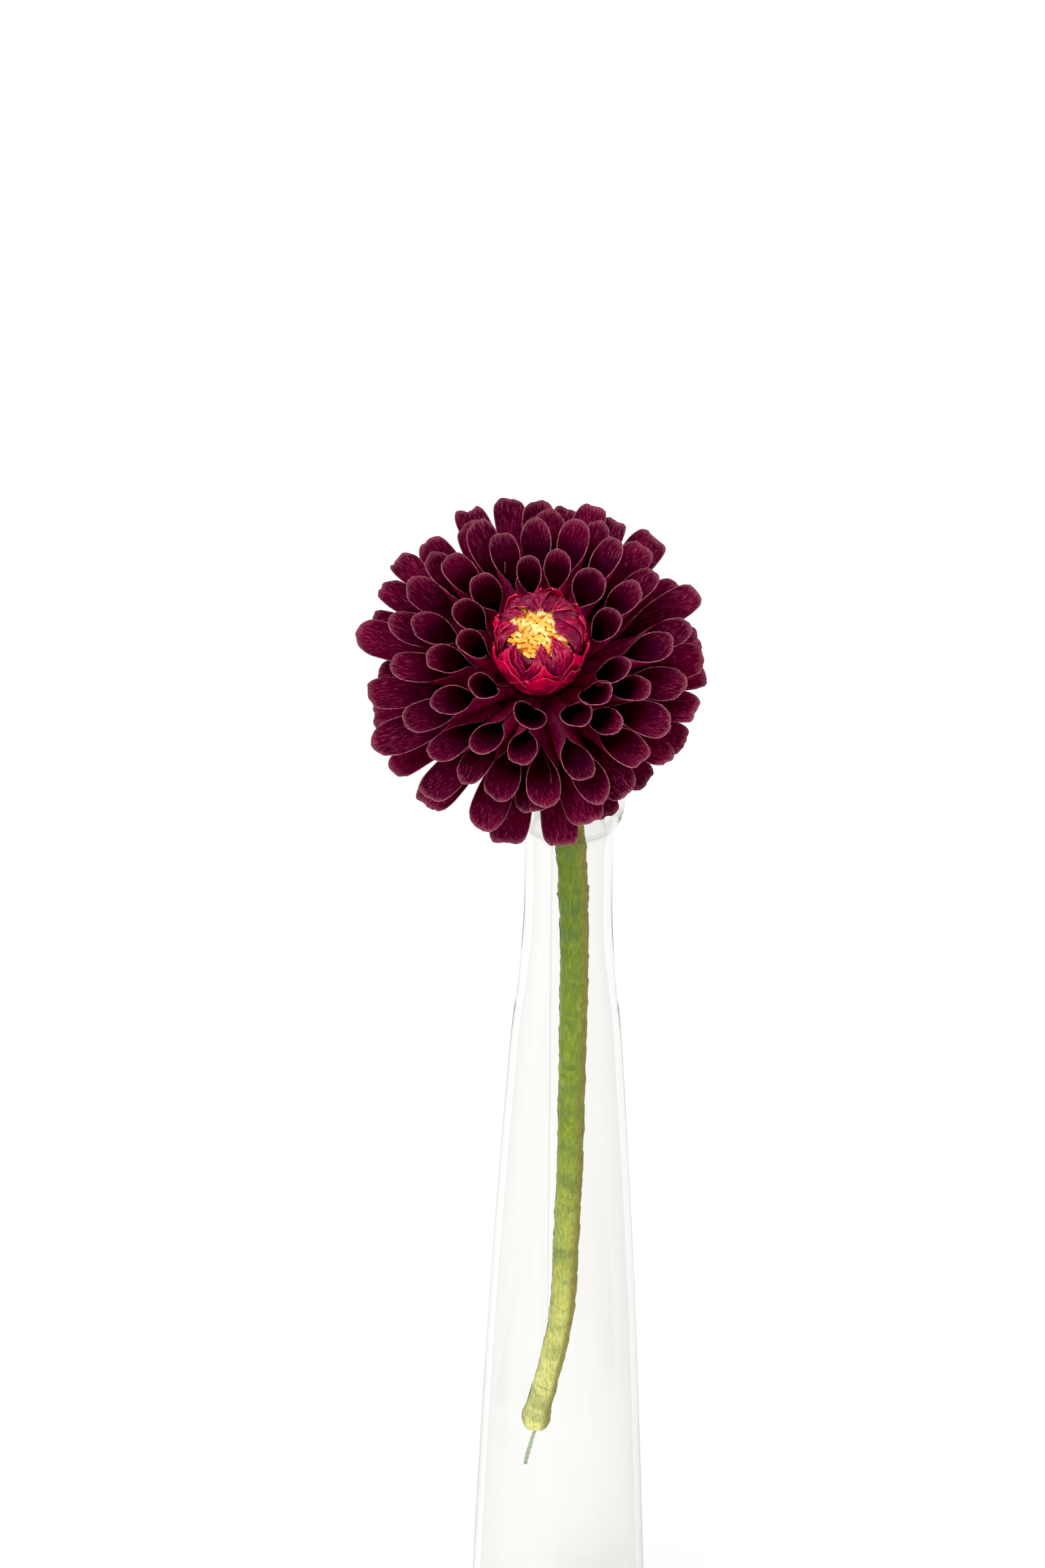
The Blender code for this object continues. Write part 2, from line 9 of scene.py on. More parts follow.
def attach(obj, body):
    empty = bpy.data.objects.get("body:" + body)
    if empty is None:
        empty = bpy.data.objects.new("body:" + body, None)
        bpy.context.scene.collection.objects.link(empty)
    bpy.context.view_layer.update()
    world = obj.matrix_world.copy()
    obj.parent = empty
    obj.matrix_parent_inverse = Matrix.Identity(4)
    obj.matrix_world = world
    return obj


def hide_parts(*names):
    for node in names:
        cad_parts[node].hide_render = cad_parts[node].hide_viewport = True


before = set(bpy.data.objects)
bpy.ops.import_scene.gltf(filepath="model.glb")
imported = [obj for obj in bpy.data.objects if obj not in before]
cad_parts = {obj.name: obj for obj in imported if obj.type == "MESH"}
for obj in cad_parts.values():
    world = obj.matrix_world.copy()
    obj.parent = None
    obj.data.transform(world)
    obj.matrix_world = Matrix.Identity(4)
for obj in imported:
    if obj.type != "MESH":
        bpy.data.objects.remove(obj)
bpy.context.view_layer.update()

# A crepe-paper ball dahlia leaning in the mouth of a slim conical glass bottle.
# Lengths are in metres, or in millimetres where a name ends in _mm, and angles in degrees.

MM = 0.001

# The head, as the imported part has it
BUD_CENTRE = Vector((-0.0084, -0.0310, 0.3726))
HEAD_LEAN = 46.0
BUD_CENTRE_DEPTH = 0.017
CORE_PROFILE_MM = (
    (0.0, 4.2), (3.2, 4.3), (5.8, 4.1), (9.0, 3.2), (11.8, 1.7), (14.2, -0.4), (15.5, -2.4),
    (15.6, -4.4), (15.0, -6.3), (13.2, -7.7), (11.0, -8.4), (6.4, -9.0), (0.0, -9.0),
)

# The petals. Each row's tips are (clock, distance from the head's axis in mm), clockwise from the top of the
# face, and a third number where a tip has a width of its own
PETAL_SEED = 25
PAPER = 0.00019
ROLL_RADIUS = 0.0018
ROLL_GROWTH = 1.2
MOST_WRAP = 3.12
SCROLL = 0.07
HANDLE_SHARE = 0.36
LOOK_AHEAD = 0.01
PRESSED = 0.42  # how much flatter a petal's closed roll is than its open mouth, to clear the petal above
ROOT_SHARE = 0.05
TIP_CROWDING = 1.2  # the points along a petal crowd towards its tip by this power
PAPER_SLACK = 1.12  # the flat paper is this much longer than the straight way from root to tip
# The uneven cut: how often it waves across the tip, the steps and start of its pattern, and its depth
CUT_WAVES = ((1.9, 3.1, 0.5, 0.024), (7.0, 7.7, 2.5, 0.008))
# The ripples near the tip: waves across per mm, waves along, and the steps and start of their pattern
RIPPLE = (0.42, 1.5, 5.3, 0.0)
FINE_RIPPLE = (1.1, 2.0, 2.9, 40.0)
RIPPLE_DEPTH = 0.00075
FINE_RIPPLE_DEPTH = 0.00022
RIPPLE_SWAY = 0.00035
# Painted sheen reaches this far in from the paper's cut edge
SHEEN_RIM_MM = 3.0
TIP_HEIGHT_SWAY = (0.0008, 0.0010, 0.0014, 0.0018, 0.0028)
WIDTH_SWAY = 0.10
TWIST_SWAY = 20.0
# For each row, where the painted shade inside a petal's roll starts below its tip, over what share of its
# length it comes, and how dark it gets
THROAT_PAINTED_SHADE = (
    (0.99, 0.20, 0.96), (0.98, 0.24, 0.95), (0.96, 0.32, 0.88), (0.93, 0.42, 0.72), (0.90, 0.45, 0.60),
)
PAINTED_SHADE_POWER = 1.2
ROWS = (
    dict(
        tips=(
            (353, 22.4, 0.66), (12, 24.4, 0.74), (36, 23.3, 0.92), (72, 20.2, 1.0), (112, 22.2, 1.0),
            (134, 22.0, 0.92), (154, 23.8, 1.0), (190, 22.0, 1.14), (231, 20.8, 0.98), (268, 19.8, 1.04),
            (294, 22.4, 1.0), (318, 22.7, 1.0),
        ),
        tip_height=0.0185, root=(0.0086, 0.0000), leave=50, arrive=24,
        wrap=1.85, mouth=0.0045, opening=(0.46, 0.94), flat=0.88, arch=0.48, squareness=2.2,
    ),
    dict(
        tips=(
            (342, 31.2), (358, 33.0), (16, 34.0), (35, 33.1), (57, 28.6), (90, 32.0), (116, 28.8),
            (139, 28.6), (164, 35.4), (188, 31.0), (207, 31.5), (237, 30.1), (262, 27.4), (280, 31.4),
            (314, 32.5),
        ),
        tip_height=0.0166, root=(0.0076, -0.0020), leave=64, arrive=38,
        wrap=1.80, mouth=0.0042, opening=(0.44, 0.92), flat=0.80, arch=0.44, squareness=2.2,
    ),
    dict(
        tips=(
            (335, 37.3), (4, 37.0), (24, 37.5), (54, 35.3), (81, 37.0), (104, 36.0), (123, 37.0), (140, 37.7),
            (159, 40.4), (179, 39.4), (196, 39.6), (207, 38.5), (221, 38.1), (239, 37.5), (262, 35.8),
            (281, 37.2), (298, 36.9), (311, 36.5),
        ),
        tip_height=0.0130, root=(0.0068, -0.0042), leave=76, arrive=52,
        wrap=1.62, mouth=0.0046, opening=(0.38, 0.90), flat=0.68, arch=0.38, squareness=2.2,
    ),
    dict(
        tips=(
            (335, 41.4), (359, 43.0), (18, 43.9), (27, 42.6), (40, 40.0), (64, 43.6), (89, 39.8), (110, 40.0),
            (131, 40.3), (149, 40.6), (164, 43.4), (182, 39.0), (198, 45.2), (217, 43.8), (241, 45.2),
            (258, 42.4), (279, 45.0), (296, 43.6), (318, 42.0),
        ),
        tip_height=0.0060, root=(0.0066, -0.0060), leave=86, arrive=64,
        wrap=1.35, mouth=0.0051, opening=(0.30, 0.85), flat=0.55, arch=0.30, squareness=2.9,
    ),
    dict(
        tips=(
            (350, 48.7), (9, 46.0), (38, 47.2), (56, 42.6), (76, 41.0), (93, 40.6), (117, 40.0), (139, 39.4),
            (156, 39.6), (173, 45.4), (190, 45.0), (219, 43.4), (234, 43.8), (254, 42.6), (268, 39.6),
            (289, 44.9), (311, 48.2), (337, 47.6),
        ),
        tip_height=-0.0030, root=(0.0062, -0.0074), leave=97, arrive=86,
        wrap=1.15, mouth=0.0056, opening=(0.26, 0.80), flat=0.45, arch=0.22, squareness=3.2,
    ),
)

# The bud: its outline as (radius, height) pairs in mm up the head's axis and in over the florets
BUD_OUTLINE_MM = (
    (5.0, 4.6), (7.8, 6.9), (9.1, 9.6), (9.6, 13.0), (9.7, 17.5), (9.5, 21.2),
    (9.1, 24.0), (8.3, 25.7), (7.0, 26.8), (5.4, 27.5), (3.2, 28.1),
)
BUD_CUP_MM = ((7.8, 25.3), (8.2, 22.0), (8.0, 18.0), (6.8, 13.0), (4.4, 9.2), (0.0, 7.4))
RIM_REACH_MM = 24.0  # how far along the outline the bud's rim is
RIM_RADIUS_MM = 8.1
RIM_STRETCH = 1.15  # from a distance on the face to one along the outline inside the rim
OPENING_CENTRE_MM = (-1.9, -2.0)  # the florets show through a round opening about here
OPENING_RADIUS_MM = 4.4
SCALE_SEED = 7
SCALE_PAPER = 0.00026
# Painted shade on the innermost scales above the opening
UPPER_PAINTED_SHADE = 0.40  # how much darker the innermost scales are above the opening
# Each ring: how many scales, the first one's clock, then base, tip and half width in mm along the outline,
# how far its tips stand off, how far they follow the opening, and how far short of its edge they stop
SCALE_RINGS = (
    (6, 24, 2.0, 17.0, 6.6, 1.0, 0.0, 0.0),
    (6, 354, 7.0, 20.4, 6.2, 1.5, 0.0, 0.0),
    (7, 22, 11.0, 23.2, 5.2, 1.9, 0.0, 0.0),
    (8, 2, 15.0, 24.6, 4.3, 1.3, 0.5, 0.8),
    (9, 20, 18.5, 26.0, 3.6, 0.5, 1.0, 0.2),
)
SCALE_POINT = 0.97  # the share of its width that a scale loses by its tip
SCALE_KEEL_MM = 0.35
SCALE_FLARE_MM = 0.30
SCALE_CRUMPLE_MM = 1.3
SCALE_CREASE_MM = 1.9
HELD_FLAT = 0.6  # how much flatter the scales are that follow the opening
LAP_STEP_MM = 0.12  # how much farther out each ring lies than the one inside it
LEAST_TURN_RADIUS = 0.0035
MOST_TURN = 1.2
# The egg's tone: the painted shade of the scales' tucked-in bases
EGG_PAINTED_SHADE = 0.9

# The florets: a dome tiled with small chips of paper
DOME_RADIUS = 0.0140
DOME_CENTRE = 0.0135
CHIP_SEED = 11
CHIP_MM = (2.05, 0.98, 1.5)
CHIP_SPACING = (0.93, 0.92)
CHIP_REACH_MM = 7.2
CHIP_ROUNDING = 0.00017
CHIP_SWAY = 0.00016
CHIP_FACE = 0.0005  # the part of a chip above this is its pale face
# How much painted shade the chips' sides get down in the gaps
CHIP_SIDE_SHADE = 0.9
# Patches of chips: the patch's middle in mm on the face, and the way its chips run
CHIP_PATCHES = (
    (-1.2, 4.0, 82), (-4.9, 1.6, 8), (-3.0, -1.0, -62), (2.2, 2.4, 20), (-0.2, 0.4, 74), (-5.2, -3.2, 38),
    (-1.6, -4.0, -12), (2.0, -2.2, -58), (1.6, -6.0, 40), (5.4, 0.4, 70), (5.0, 5.0, -30), (-4.4, 5.2, -40),
)
CHIP_GROUND_FOOT_MM = ((0.0, 9.8), (4.2, 10.6), (6.6, 15.0), (7.2, 23.8))

# The stem's centre line under its straight start, and the wire's tail
STEM_RADIUS = 0.0039
STEM_TOP_DEPTH = -0.0093
STEM_ROUTE_MM = (
    (-8.4, -9.4, 351.7), (-8.4, -6.7, 349.1), (-7.7, -3.8, 343.0), (-6.2, -3.0, 336.0), (-4.2, -3.5, 328.5),
    (-2.2, -4.4, 320.5), (-0.5, -4.9, 312.0), (0.8, -3.2, 299.4), (1.8, -1.0, 275.2), (2.0, 1.3, 249.9),
    (2.0, 3.8, 223.1), (1.9, 6.3, 195.2), (1.3, 9.0, 165.7), (0.7, 11.2, 140.9), (-0.4, 12.3, 128.5),
    (-2.3, 13.4, 116.0), (-4.6, 14.5, 103.2), (-6.5, 15.1, 94.5), (-7.4, 15.5, 89.2),
)
STEM_TIP_MM = (-7.5, 15.8, 84.2)
WIRE_TAIL_MM = ((-9.0, 16.1, 77.5), (-10.1, 16.3, 72.5), (-11.1, 16.4, 67.6))
WIRE_RADIUS = 0.0006
TAPE_TURN_MM = 9.5
TAPE_STEP = 0.00040
TAPE_SLANT = 0.55  # how far down the tape runs in going once round, as a share of the distance between laps
TAPE_THICKNESS = 0.00014
# The tape's bumps: how often they come along the stem and round it, and their height
TAPE_BUMPS = ((34.0, 1.0, 0.00030), (130.0, 2.2, 0.00014), (330.0, 1.4, 0.00013))
FLARE_MM = 15  # the stem's lower end flares over this length
FLARE = 0.00085
TORN_MM = 3.2  # and it is torn within this length of its end
TORN_SHARE = 0.34  # the torn end narrows to this share of its thickness

# The calyx
SEPALS = 7
SEPAL_HALF_WIDTH = 0.0029
SEPAL_LENGTH = 0.0125
SEPAL_ROOT = (0.0052, -0.0112)
SEPAL_FALL = 0.0035
SEPAL_PAPER = 0.0005
COLLAR_PROFILE_MM = (
    (4.05, -16.4), (4.05, -9.4), (6.4, -9.3), (7.0, -9.8), (7.2, -10.6), (6.9, -11.8), (6.4, -13.2),
    (5.9, -14.8), (5.2, -16.2), (4.9, -16.5), (4.05, -16.4),
)

# The bottle
VASE_HEIGHT = 0.324
NECK_RADIUS = 0.0118
LIP_RADIUS = 0.0147
LIP_BOTTOM = 0.3095
LIP_ROUND = 0.0022
MOUTH_RADIUS = 0.0095
FOOT_RADIUS = 0.0290
HEEL_RADIUS = 0.0055
WALL = 0.0022
FLOOR_THICKNESS = 0.0055
VASE_STEPS = 160
SEAM_PLACE = 0.0046  # the mould seam runs down the front this far left of the axis
SEAM_HALF_WIDTH = 0.00013
LIP_SQUASH = 1.1  # how much taller than wide the lip's inner edge is
# The inside as (radius, height) from foot to mouth, the outside from lip to heel, and the floor from its
# middle outwards
BOTTLE_INSIDE = (
    (FOOT_RADIUS - WALL - 0.0002, 0.0140), (0.0204, 0.1400), (0.0138, 0.2370), (0.01155, 0.2580),
    (0.0101, 0.2720), (MOUTH_RADIUS + 0.0001, 0.2840), (MOUTH_RADIUS, 0.2980),
)
BOTTLE_OUTSIDE = (
    (NECK_RADIUS, LIP_BOTTOM), (NECK_RADIUS, 0.2990), (0.01195, 0.2865), (0.0124, 0.2760), (0.01375, 0.2580),
    (0.0160, 0.2370), (0.0226, 0.1400), (FOOT_RADIUS, 0.0140), (FOOT_RADIUS, HEEL_RADIUS),
)
BOTTLE_FLOOR = tuple((radius, FLOOR_THICKNESS + rise) for radius, rise in (
    (0.0, 0.0012), (0.0080, 0.0009), (0.0162, 0.0001), (0.0205, 0.0003), (0.0235, 0.0014), (0.0252, 0.0038),
))

# The studio
CAMERA_PLACE = (-0.0125, -0.4674, 0.5436)
CAMERA_TILT = 64.5
CAMERA_ROLL = 0.22
LENS = 45.15
FLOOR_RADIUS = 14.0
FLOOR_DROP = 0.0002


# Shader maths

class Signal:
    """A shader socket that Python's arithmetic works on by adding Math nodes."""

    def __init__(self, finish, socket):
        self.finish = finish
        self.socket = socket

    def maths(self, operation, first, second=0.0):
        return self.finish.node("ShaderNodeMath", {"operation": operation}, {0: first, 1: second})

    def __add__(self, other):
        return self.maths("ADD", self, other)

    def __sub__(self, other):
        return self.maths("SUBTRACT", self, other)

    def __mul__(self, other):
        return self.maths("MULTIPLY", self, other)

    def __pow__(self, other):
        return self.maths("POWER", self, other)

    def __rsub__(self, other):
        return self.maths("SUBTRACT", other, self)

    __radd__ = __add__
    __rmul__ = __mul__

    def clamped(self):
        return self.finish.node("ShaderNodeClamp", {}, {"Value": self})


class Finish:
    """A material being made: its nodes, and the shader that its colour and relief go to."""

    def __init__(self, name, roughness, **constants):
        self.material = bpy.data.materials.new(name)
        self.material.use_nodes = True
        self.tree = self.material.node_tree
        self.shader = self.tree.nodes["Principled BSDF"]
        self.shader.inputs["Roughness"].default_value = roughness
        for socket, value in constants.items():
            self.shader.inputs[socket.replace("_", " ")].default_value = value

    def node(self, kind, settings, inputs, output=0):
        made = self.tree.nodes.new(kind)
        for name, value in settings.items():
            if name == "stops":
                ramp = made.color_ramp
                while len(ramp.elements) < len(value):
                    ramp.elements.new(0.5)
                for element, (place, colour) in zip(ramp.elements, value):
                    element.position = place
                    element.color = (*colour, 1.0)
            else:
                setattr(made, name, value)
        for name, value in inputs.items():
            if isinstance(value, Signal):
                self.tree.links.new(value.socket, made.inputs[name])
            else:
                made.inputs[name].default_value = value
        return Signal(self, made.outputs[output])

    def place(self):
        """The point on the piece, in metres."""
        return self.node("ShaderNodeTexCoord", {}, {}, "Object")

    def paper_map(self):
        """The point on the flat paper: across it and along it, in millimetres."""
        return self.node("ShaderNodeUVMap", {"uv_map": "paper"}, {})

    def attribute(self, name):
        return self.node("ShaderNodeAttribute", {"attribute_name": name}, {}, "Fac")

    def stretched(self, vector, scale, shift=(0.0, 0.0, 0.0)):
        return self.node("ShaderNodeMapping", {}, {"Vector": vector, "Scale": scale, "Location": shift})

    def clouds(self, vector, scale, detail=3.0, roughness=0.55):
        return self.node(
            "ShaderNodeTexNoise", {},
            {"Vector": vector, "Scale": scale, "Detail": detail, "Roughness": roughness}, "Fac",
        )

    def between(self, value, low, high):
        """0 below low, 1 above high, and smooth between them."""
        return self.node(
            "ShaderNodeMapRange", {"interpolation_type": "SMOOTHSTEP"},
            {"Value": value, "From Min": low, "From Max": high},
        )

    def ramp(self, value, stops):
        return self.node("ShaderNodeValToRGB", {"stops": stops}, {"Fac": value})

    def mix(self, share, first, second, how="MIX"):
        colours = [(*c, 1.0) if isinstance(c, tuple) else c for c in (first, second)]
        return self.node(
            "ShaderNodeMix", {"data_type": "RGBA", "blend_type": how},
            {0: share, 6: colours[0], 7: colours[1]}, 2,
        )

    def relief(self, height, distance, strength=1.0):
        bump = self.node(
            "ShaderNodeBump", {}, {"Height": height, "Distance": distance, "Strength": strength},
        )
        self.tree.links.new(bump.socket, self.shader.inputs["Normal"])

    def paint(self, **sockets):
        for name, value in sockets.items():
            self.tree.links.new(value.socket, self.shader.inputs[name.replace("_", " ")])
        return self.material


# The crepe's colours outside and inside a petal: its two shades, the grain's painted highlight and painted
# shade, the rim's painted sheen
CREPE_COLOURS = {
    # Outside a petal the colours are lighter, a painted glow of light coming through the paper
    "burgundy_crepe": (
        (0.170, 0.0042, 0.043), (0.300, 0.0085, 0.064), (0.50, 0.058, 0.145), (0.060, 0.0013, 0.018),
        (0.44, 0.085, 0.160),
    ),
    "burgundy_throat": (
        (0.064, 0.0028, 0.0180), (0.148, 0.0055, 0.0340), (0.37, 0.055, 0.115), (0.013, 0.0005, 0.0048),
        (0.37, 0.110, 0.150),
    ),
}
# The colour of the painted shade deep inside a petal's roll
THROAT_SHADE_COLOUR = (0.0300, 0.0013, 0.0120)


def burgundy_crepe(name):
    """Deep burgundy crepe: a fine grain of ridges along the paper, with painted pink highlights on the ridges
    and painted shade in the grooves.
    """
    first_shade, second_shade, light, dark, rim_sheen = CREPE_COLOURS[name]
    finish = Finish(name, 0.85, Specular_IOR_Level=0.05)
    tone = finish.attribute("tone")
    sheet = finish.node(
        "ShaderNodeCombineXYZ", {},
        {"X": finish.node("ShaderNodeSeparateXYZ", {}, {"Vector": finish.paper_map()}, "X"),
         "Y": finish.node("ShaderNodeSeparateXYZ", {}, {"Vector": finish.paper_map()}, "Y"),
         "Z": tone * 40.0},
    )
    grain = finish.clouds(finish.stretched(sheet, (8.6, 0.36, 1.0)), 1.0, 3.0, 0.65)
    ridges = finish.clouds(finish.stretched(sheet, (13.0, 0.60, 1.0), (7.0, 3.0, 0.0)), 1.0, 2.0)
    patches = finish.clouds(finish.stretched(sheet, (0.20, 0.12, 1.0), (2.0, 9.0, 0.0)), 1.0, 3.0)
    ground = finish.mix(
        finish.between(patches + tone * 0.35 - 0.17, 0.3, 0.75), first_shade, second_shade,
    )
    # Painted pink highlights on the grain's ridges
    lit = finish.mix(finish.between(grain, 0.53, 0.66) * 0.74, ground, light)
    # Painted sheen, pale pinkish grey, on the face near the paper's cut edges
    near_cut = finish.attribute("near_cut")
    sheened = finish.mix(
        finish.between(near_cut * 0.6 + ridges * 0.55, 0.56, 0.98) * 0.70, lit, rim_sheen,
    )
    # Painted shade in the grain's grooves
    colour = finish.mix(finish.between(grain, 0.50, 0.33) * 0.80, sheened, dark)
    if name == "burgundy_throat":
        # Painted shade, darkest deep in the roll towards the petal's root
        colour = finish.mix(finish.attribute("deep"), colour, THROAT_SHADE_COLOUR)
    finish.relief(grain * 0.8 + ridges * 0.6, 0.00032, 1.0)
    return finish.paint(Base_Color=colour)


def cut_edge():
    """The paper's cut edge, paler than its face."""
    finish = Finish("crepe_cut_edge", 0.85)
    fibres = finish.clouds(finish.place(), 1700.0, 3.0, 0.7)
    return finish.paint(Base_Color=finish.ramp(fibres, (
        (0.36, (0.075, 0.006, 0.022)), (0.64, (0.42, 0.125, 0.190)),
    )))


def crimson_lacquer():
    """Crimson crepe under a thin gloss, with painted shade, darker and more purple, where the scales tuck in.
    """
    finish = Finish(
        "crimson_lacquered_crepe", 0.42, Coat_Roughness=0.10, Coat_IOR=1.45, Specular_IOR_Level=0.20,
    )
    grain = finish.clouds(finish.stretched(finish.paper_map(), (2.6, 0.30, 1.0)), 1.0, 3.0, 0.6)
    blotch = finish.clouds(finish.place(), 620.0, 3.0, 0.6)
    depth = finish.attribute("tone")
    # Bright crimson to dark purple by tone, which holds each scale's own shade and the painted shade
    ground = finish.mix(depth, (0.86, 0.0008, 0.068), (0.200, 0.0006, 0.040))
    streaked = finish.mix(finish.between(grain, 0.52, 0.70) * 0.40, ground, (0.95, 0.020, 0.140))
    mottled = finish.mix(finish.between(blotch, 0.54, 0.34) * 0.60, streaked, (0.14, 0.0008, 0.022))
    wrinkles = finish.clouds(
        finish.stretched(finish.paper_map(), (0.50, 0.26, 1.0), (5.0, 1.0, 0.0)), 1.0, 2.0, 0.5,
    )
    off_fold = finish.node("ShaderNodeMath", {"operation": "ABSOLUTE"}, {0: wrinkles - 0.5})
    # worn here is how far a scale is wrinkled, taken from its tucked-in tone
    worn = finish.between(depth, 0.22, 0.52)
    # Painted shade in dark lines along the wrinkles' creases
    colour = finish.mix(finish.between(off_fold, 0.050, 0.006) * worn * 0.50, mottled, (0.085, 0.0006, 0.018))
    finish.relief(grain * 0.5 + blotch + finish.between(off_fold, 0.0, 0.07) * worn * 0.7, 0.00048, 1.0)
    return finish.paint(Base_Color=colour, Coat_Weight=finish.between(blotch, 0.50, 0.60) * 0.80 + 0.05)


def crimson_edge():
    finish = Finish("crimson_cut_edge", 0.55)
    fibres = finish.clouds(finish.place(), 2200.0, 2.0)
    return finish.paint(Base_Color=finish.ramp(fibres, (
        (0.35, (0.40, 0.004, 0.046)), (0.78, (0.66, 0.07, 0.16)),
    )))


def yolk_paper():
    """Yellow chips, each of its own shade under painted light, turning orange with painted shade down in the
    gaps between them.
    """
    finish = Finish("yolk_paper", 0.62, Specular_IOR_Level=0.35)
    tone = finish.attribute("tone")
    fibres = finish.clouds(finish.place(), 1500.0, 3.0)
    face = finish.ramp(tone, (
        (0.0, (0.72, 0.27, 0.022)), (0.45, (0.88, 0.44, 0.070)), (1.0, (0.95, 0.75, 0.36)),
    ))
    colour = finish.mix(finish.between(fibres, 0.60, 0.35) * 0.40, face, (0.66, 0.25, 0.02))
    # Painted shade, deep orange, on the chips' sides and the ground in the gaps
    sunk = finish.attribute("sunk")
    finish.relief(fibres, 0.00012, 0.6)
    return finish.paint(Base_Color=finish.mix(sunk, colour, (0.58, 0.190, 0.012)))


def green_tape():
    """Waxed green tape, cloudy and worn: green at the top, a painted haze paling it to yellow at the lower
    end, painted shade in olive down its right and painted light down its left.
    """
    finish = Finish("green_tape", 0.66, Specular_IOR_Level=0.10)
    down = finish.attribute("down")
    lap = finish.attribute("lap")
    place = finish.place()
    rightward = finish.attribute("rightward")
    bands = finish.clouds(finish.stretched(place, (0.5, 0.5, 1.0)), 150.0, 3.0, 0.6)
    patches = finish.clouds(finish.stretched(place, (1.0, 1.0, 0.6), (0.3, 0.1, 0.7)), 210.0, 4.0, 0.65)
    fibres = finish.clouds(finish.stretched(place, (1.0, 1.0, 0.22)), 1500.0, 3.0, 0.7)
    cracks = finish.clouds(finish.stretched(place, (0.25, 0.25, 1.0), (0.0, 0.0, 0.4)), 900.0, 3.0, 0.6)
    # Green at the top, paling to yellow towards the lower end under a painted haze
    ground = finish.ramp(down, (
        (0.0, (0.150, 0.262, 0.014)), (0.30, (0.160, 0.258, 0.017)), (0.55, (0.240, 0.325, 0.028)),
        (0.74, (0.500, 0.540, 0.115)), (0.88, (0.760, 0.760, 0.235)), (1.0, (0.840, 0.820, 0.300)),
    ))
    cloudy = finish.mix(finish.between(bands, 0.52, 0.34) * 0.45, ground, (0.075, 0.150, 0.045))
    # Painted shade, olive, down the stem's right side
    right_side_shade = finish.mix(
        finish.between(rightward + bands * 0.5, 0.42, 1.00) * 0.84, cloudy, (0.290, 0.235, 0.042),
    )
    # Painted light, pale green-grey, down the stem's left side
    pale = finish.mix(
        finish.between(rightward + bands * 0.2, -0.70, -0.95) * 0.45, right_side_shade, (0.480, 0.540, 0.270),
    )
    worn = finish.mix(finish.between(patches, 0.55, 0.70) * 0.40, pale, (0.400, 0.430, 0.055))
    greyed = finish.mix(finish.between(patches, 0.44, 0.28) * 0.45, worn, (0.120, 0.150, 0.075))
    lapped = finish.between(lap, 0.060, 0.005) * finish.between(bands, 0.40, 0.56)
    seam = finish.mix(lapped * 0.70, greyed, (0.045, 0.075, 0.020))
    colour = finish.mix(finish.between(fibres, 0.56, 0.36) * 0.38, seam, (0.070, 0.110, 0.014))
    frayed = finish.mix(finish.between(fibres, 0.56, 0.72) * 0.32, colour, (0.520, 0.560, 0.230))
    cracked = finish.mix(finish.between(cracks, 0.62, 0.72) * 0.40, frayed, (0.055, 0.085, 0.020))
    finish.relief(fibres * 0.8 + patches * 0.6 + bands * 0.5, 0.00045, 0.9)
    return finish.paint(Base_Color=cracked)


def wire_tape():
    finish = Finish("wire_tape", 0.6)
    turns = finish.clouds(finish.stretched(finish.place(), (1.0, 1.0, 2.5)), 700.0, 2.0)
    finish.relief(turns, 0.0002, 0.7)
    return finish.paint(Base_Color=finish.ramp(turns, ((0.3, (0.26, 0.37, 0.22)), (0.7, (0.50, 0.60, 0.42)))))


def leaf_crepe():
    """Leaf-green crepe with a pale middle vein and finer ones running off it."""
    finish = Finish("leaf_crepe", 0.7, Specular_IOR_Level=0.3)
    grain = finish.clouds(finish.stretched(finish.paper_map(), (2.4, 0.3, 1.0)), 1.0, 4.0, 0.6)
    patches = finish.clouds(finish.place(), 260.0, 3.0)
    vein = finish.between(finish.attribute("rib"), 0.75, 1.0)
    ground = finish.mix(finish.between(patches, 0.35, 0.7), (0.060, 0.135, 0.030), (0.120, 0.230, 0.050))
    streaked = finish.mix(finish.between(grain, 0.5, 0.75) * 0.5, ground, (0.230, 0.330, 0.110))
    finish.relief(grain + vein * 0.5, 0.0002, 0.8)
    return finish.paint(Base_Color=finish.mix(vein * 0.6, streaked, (0.30, 0.37, 0.16)))


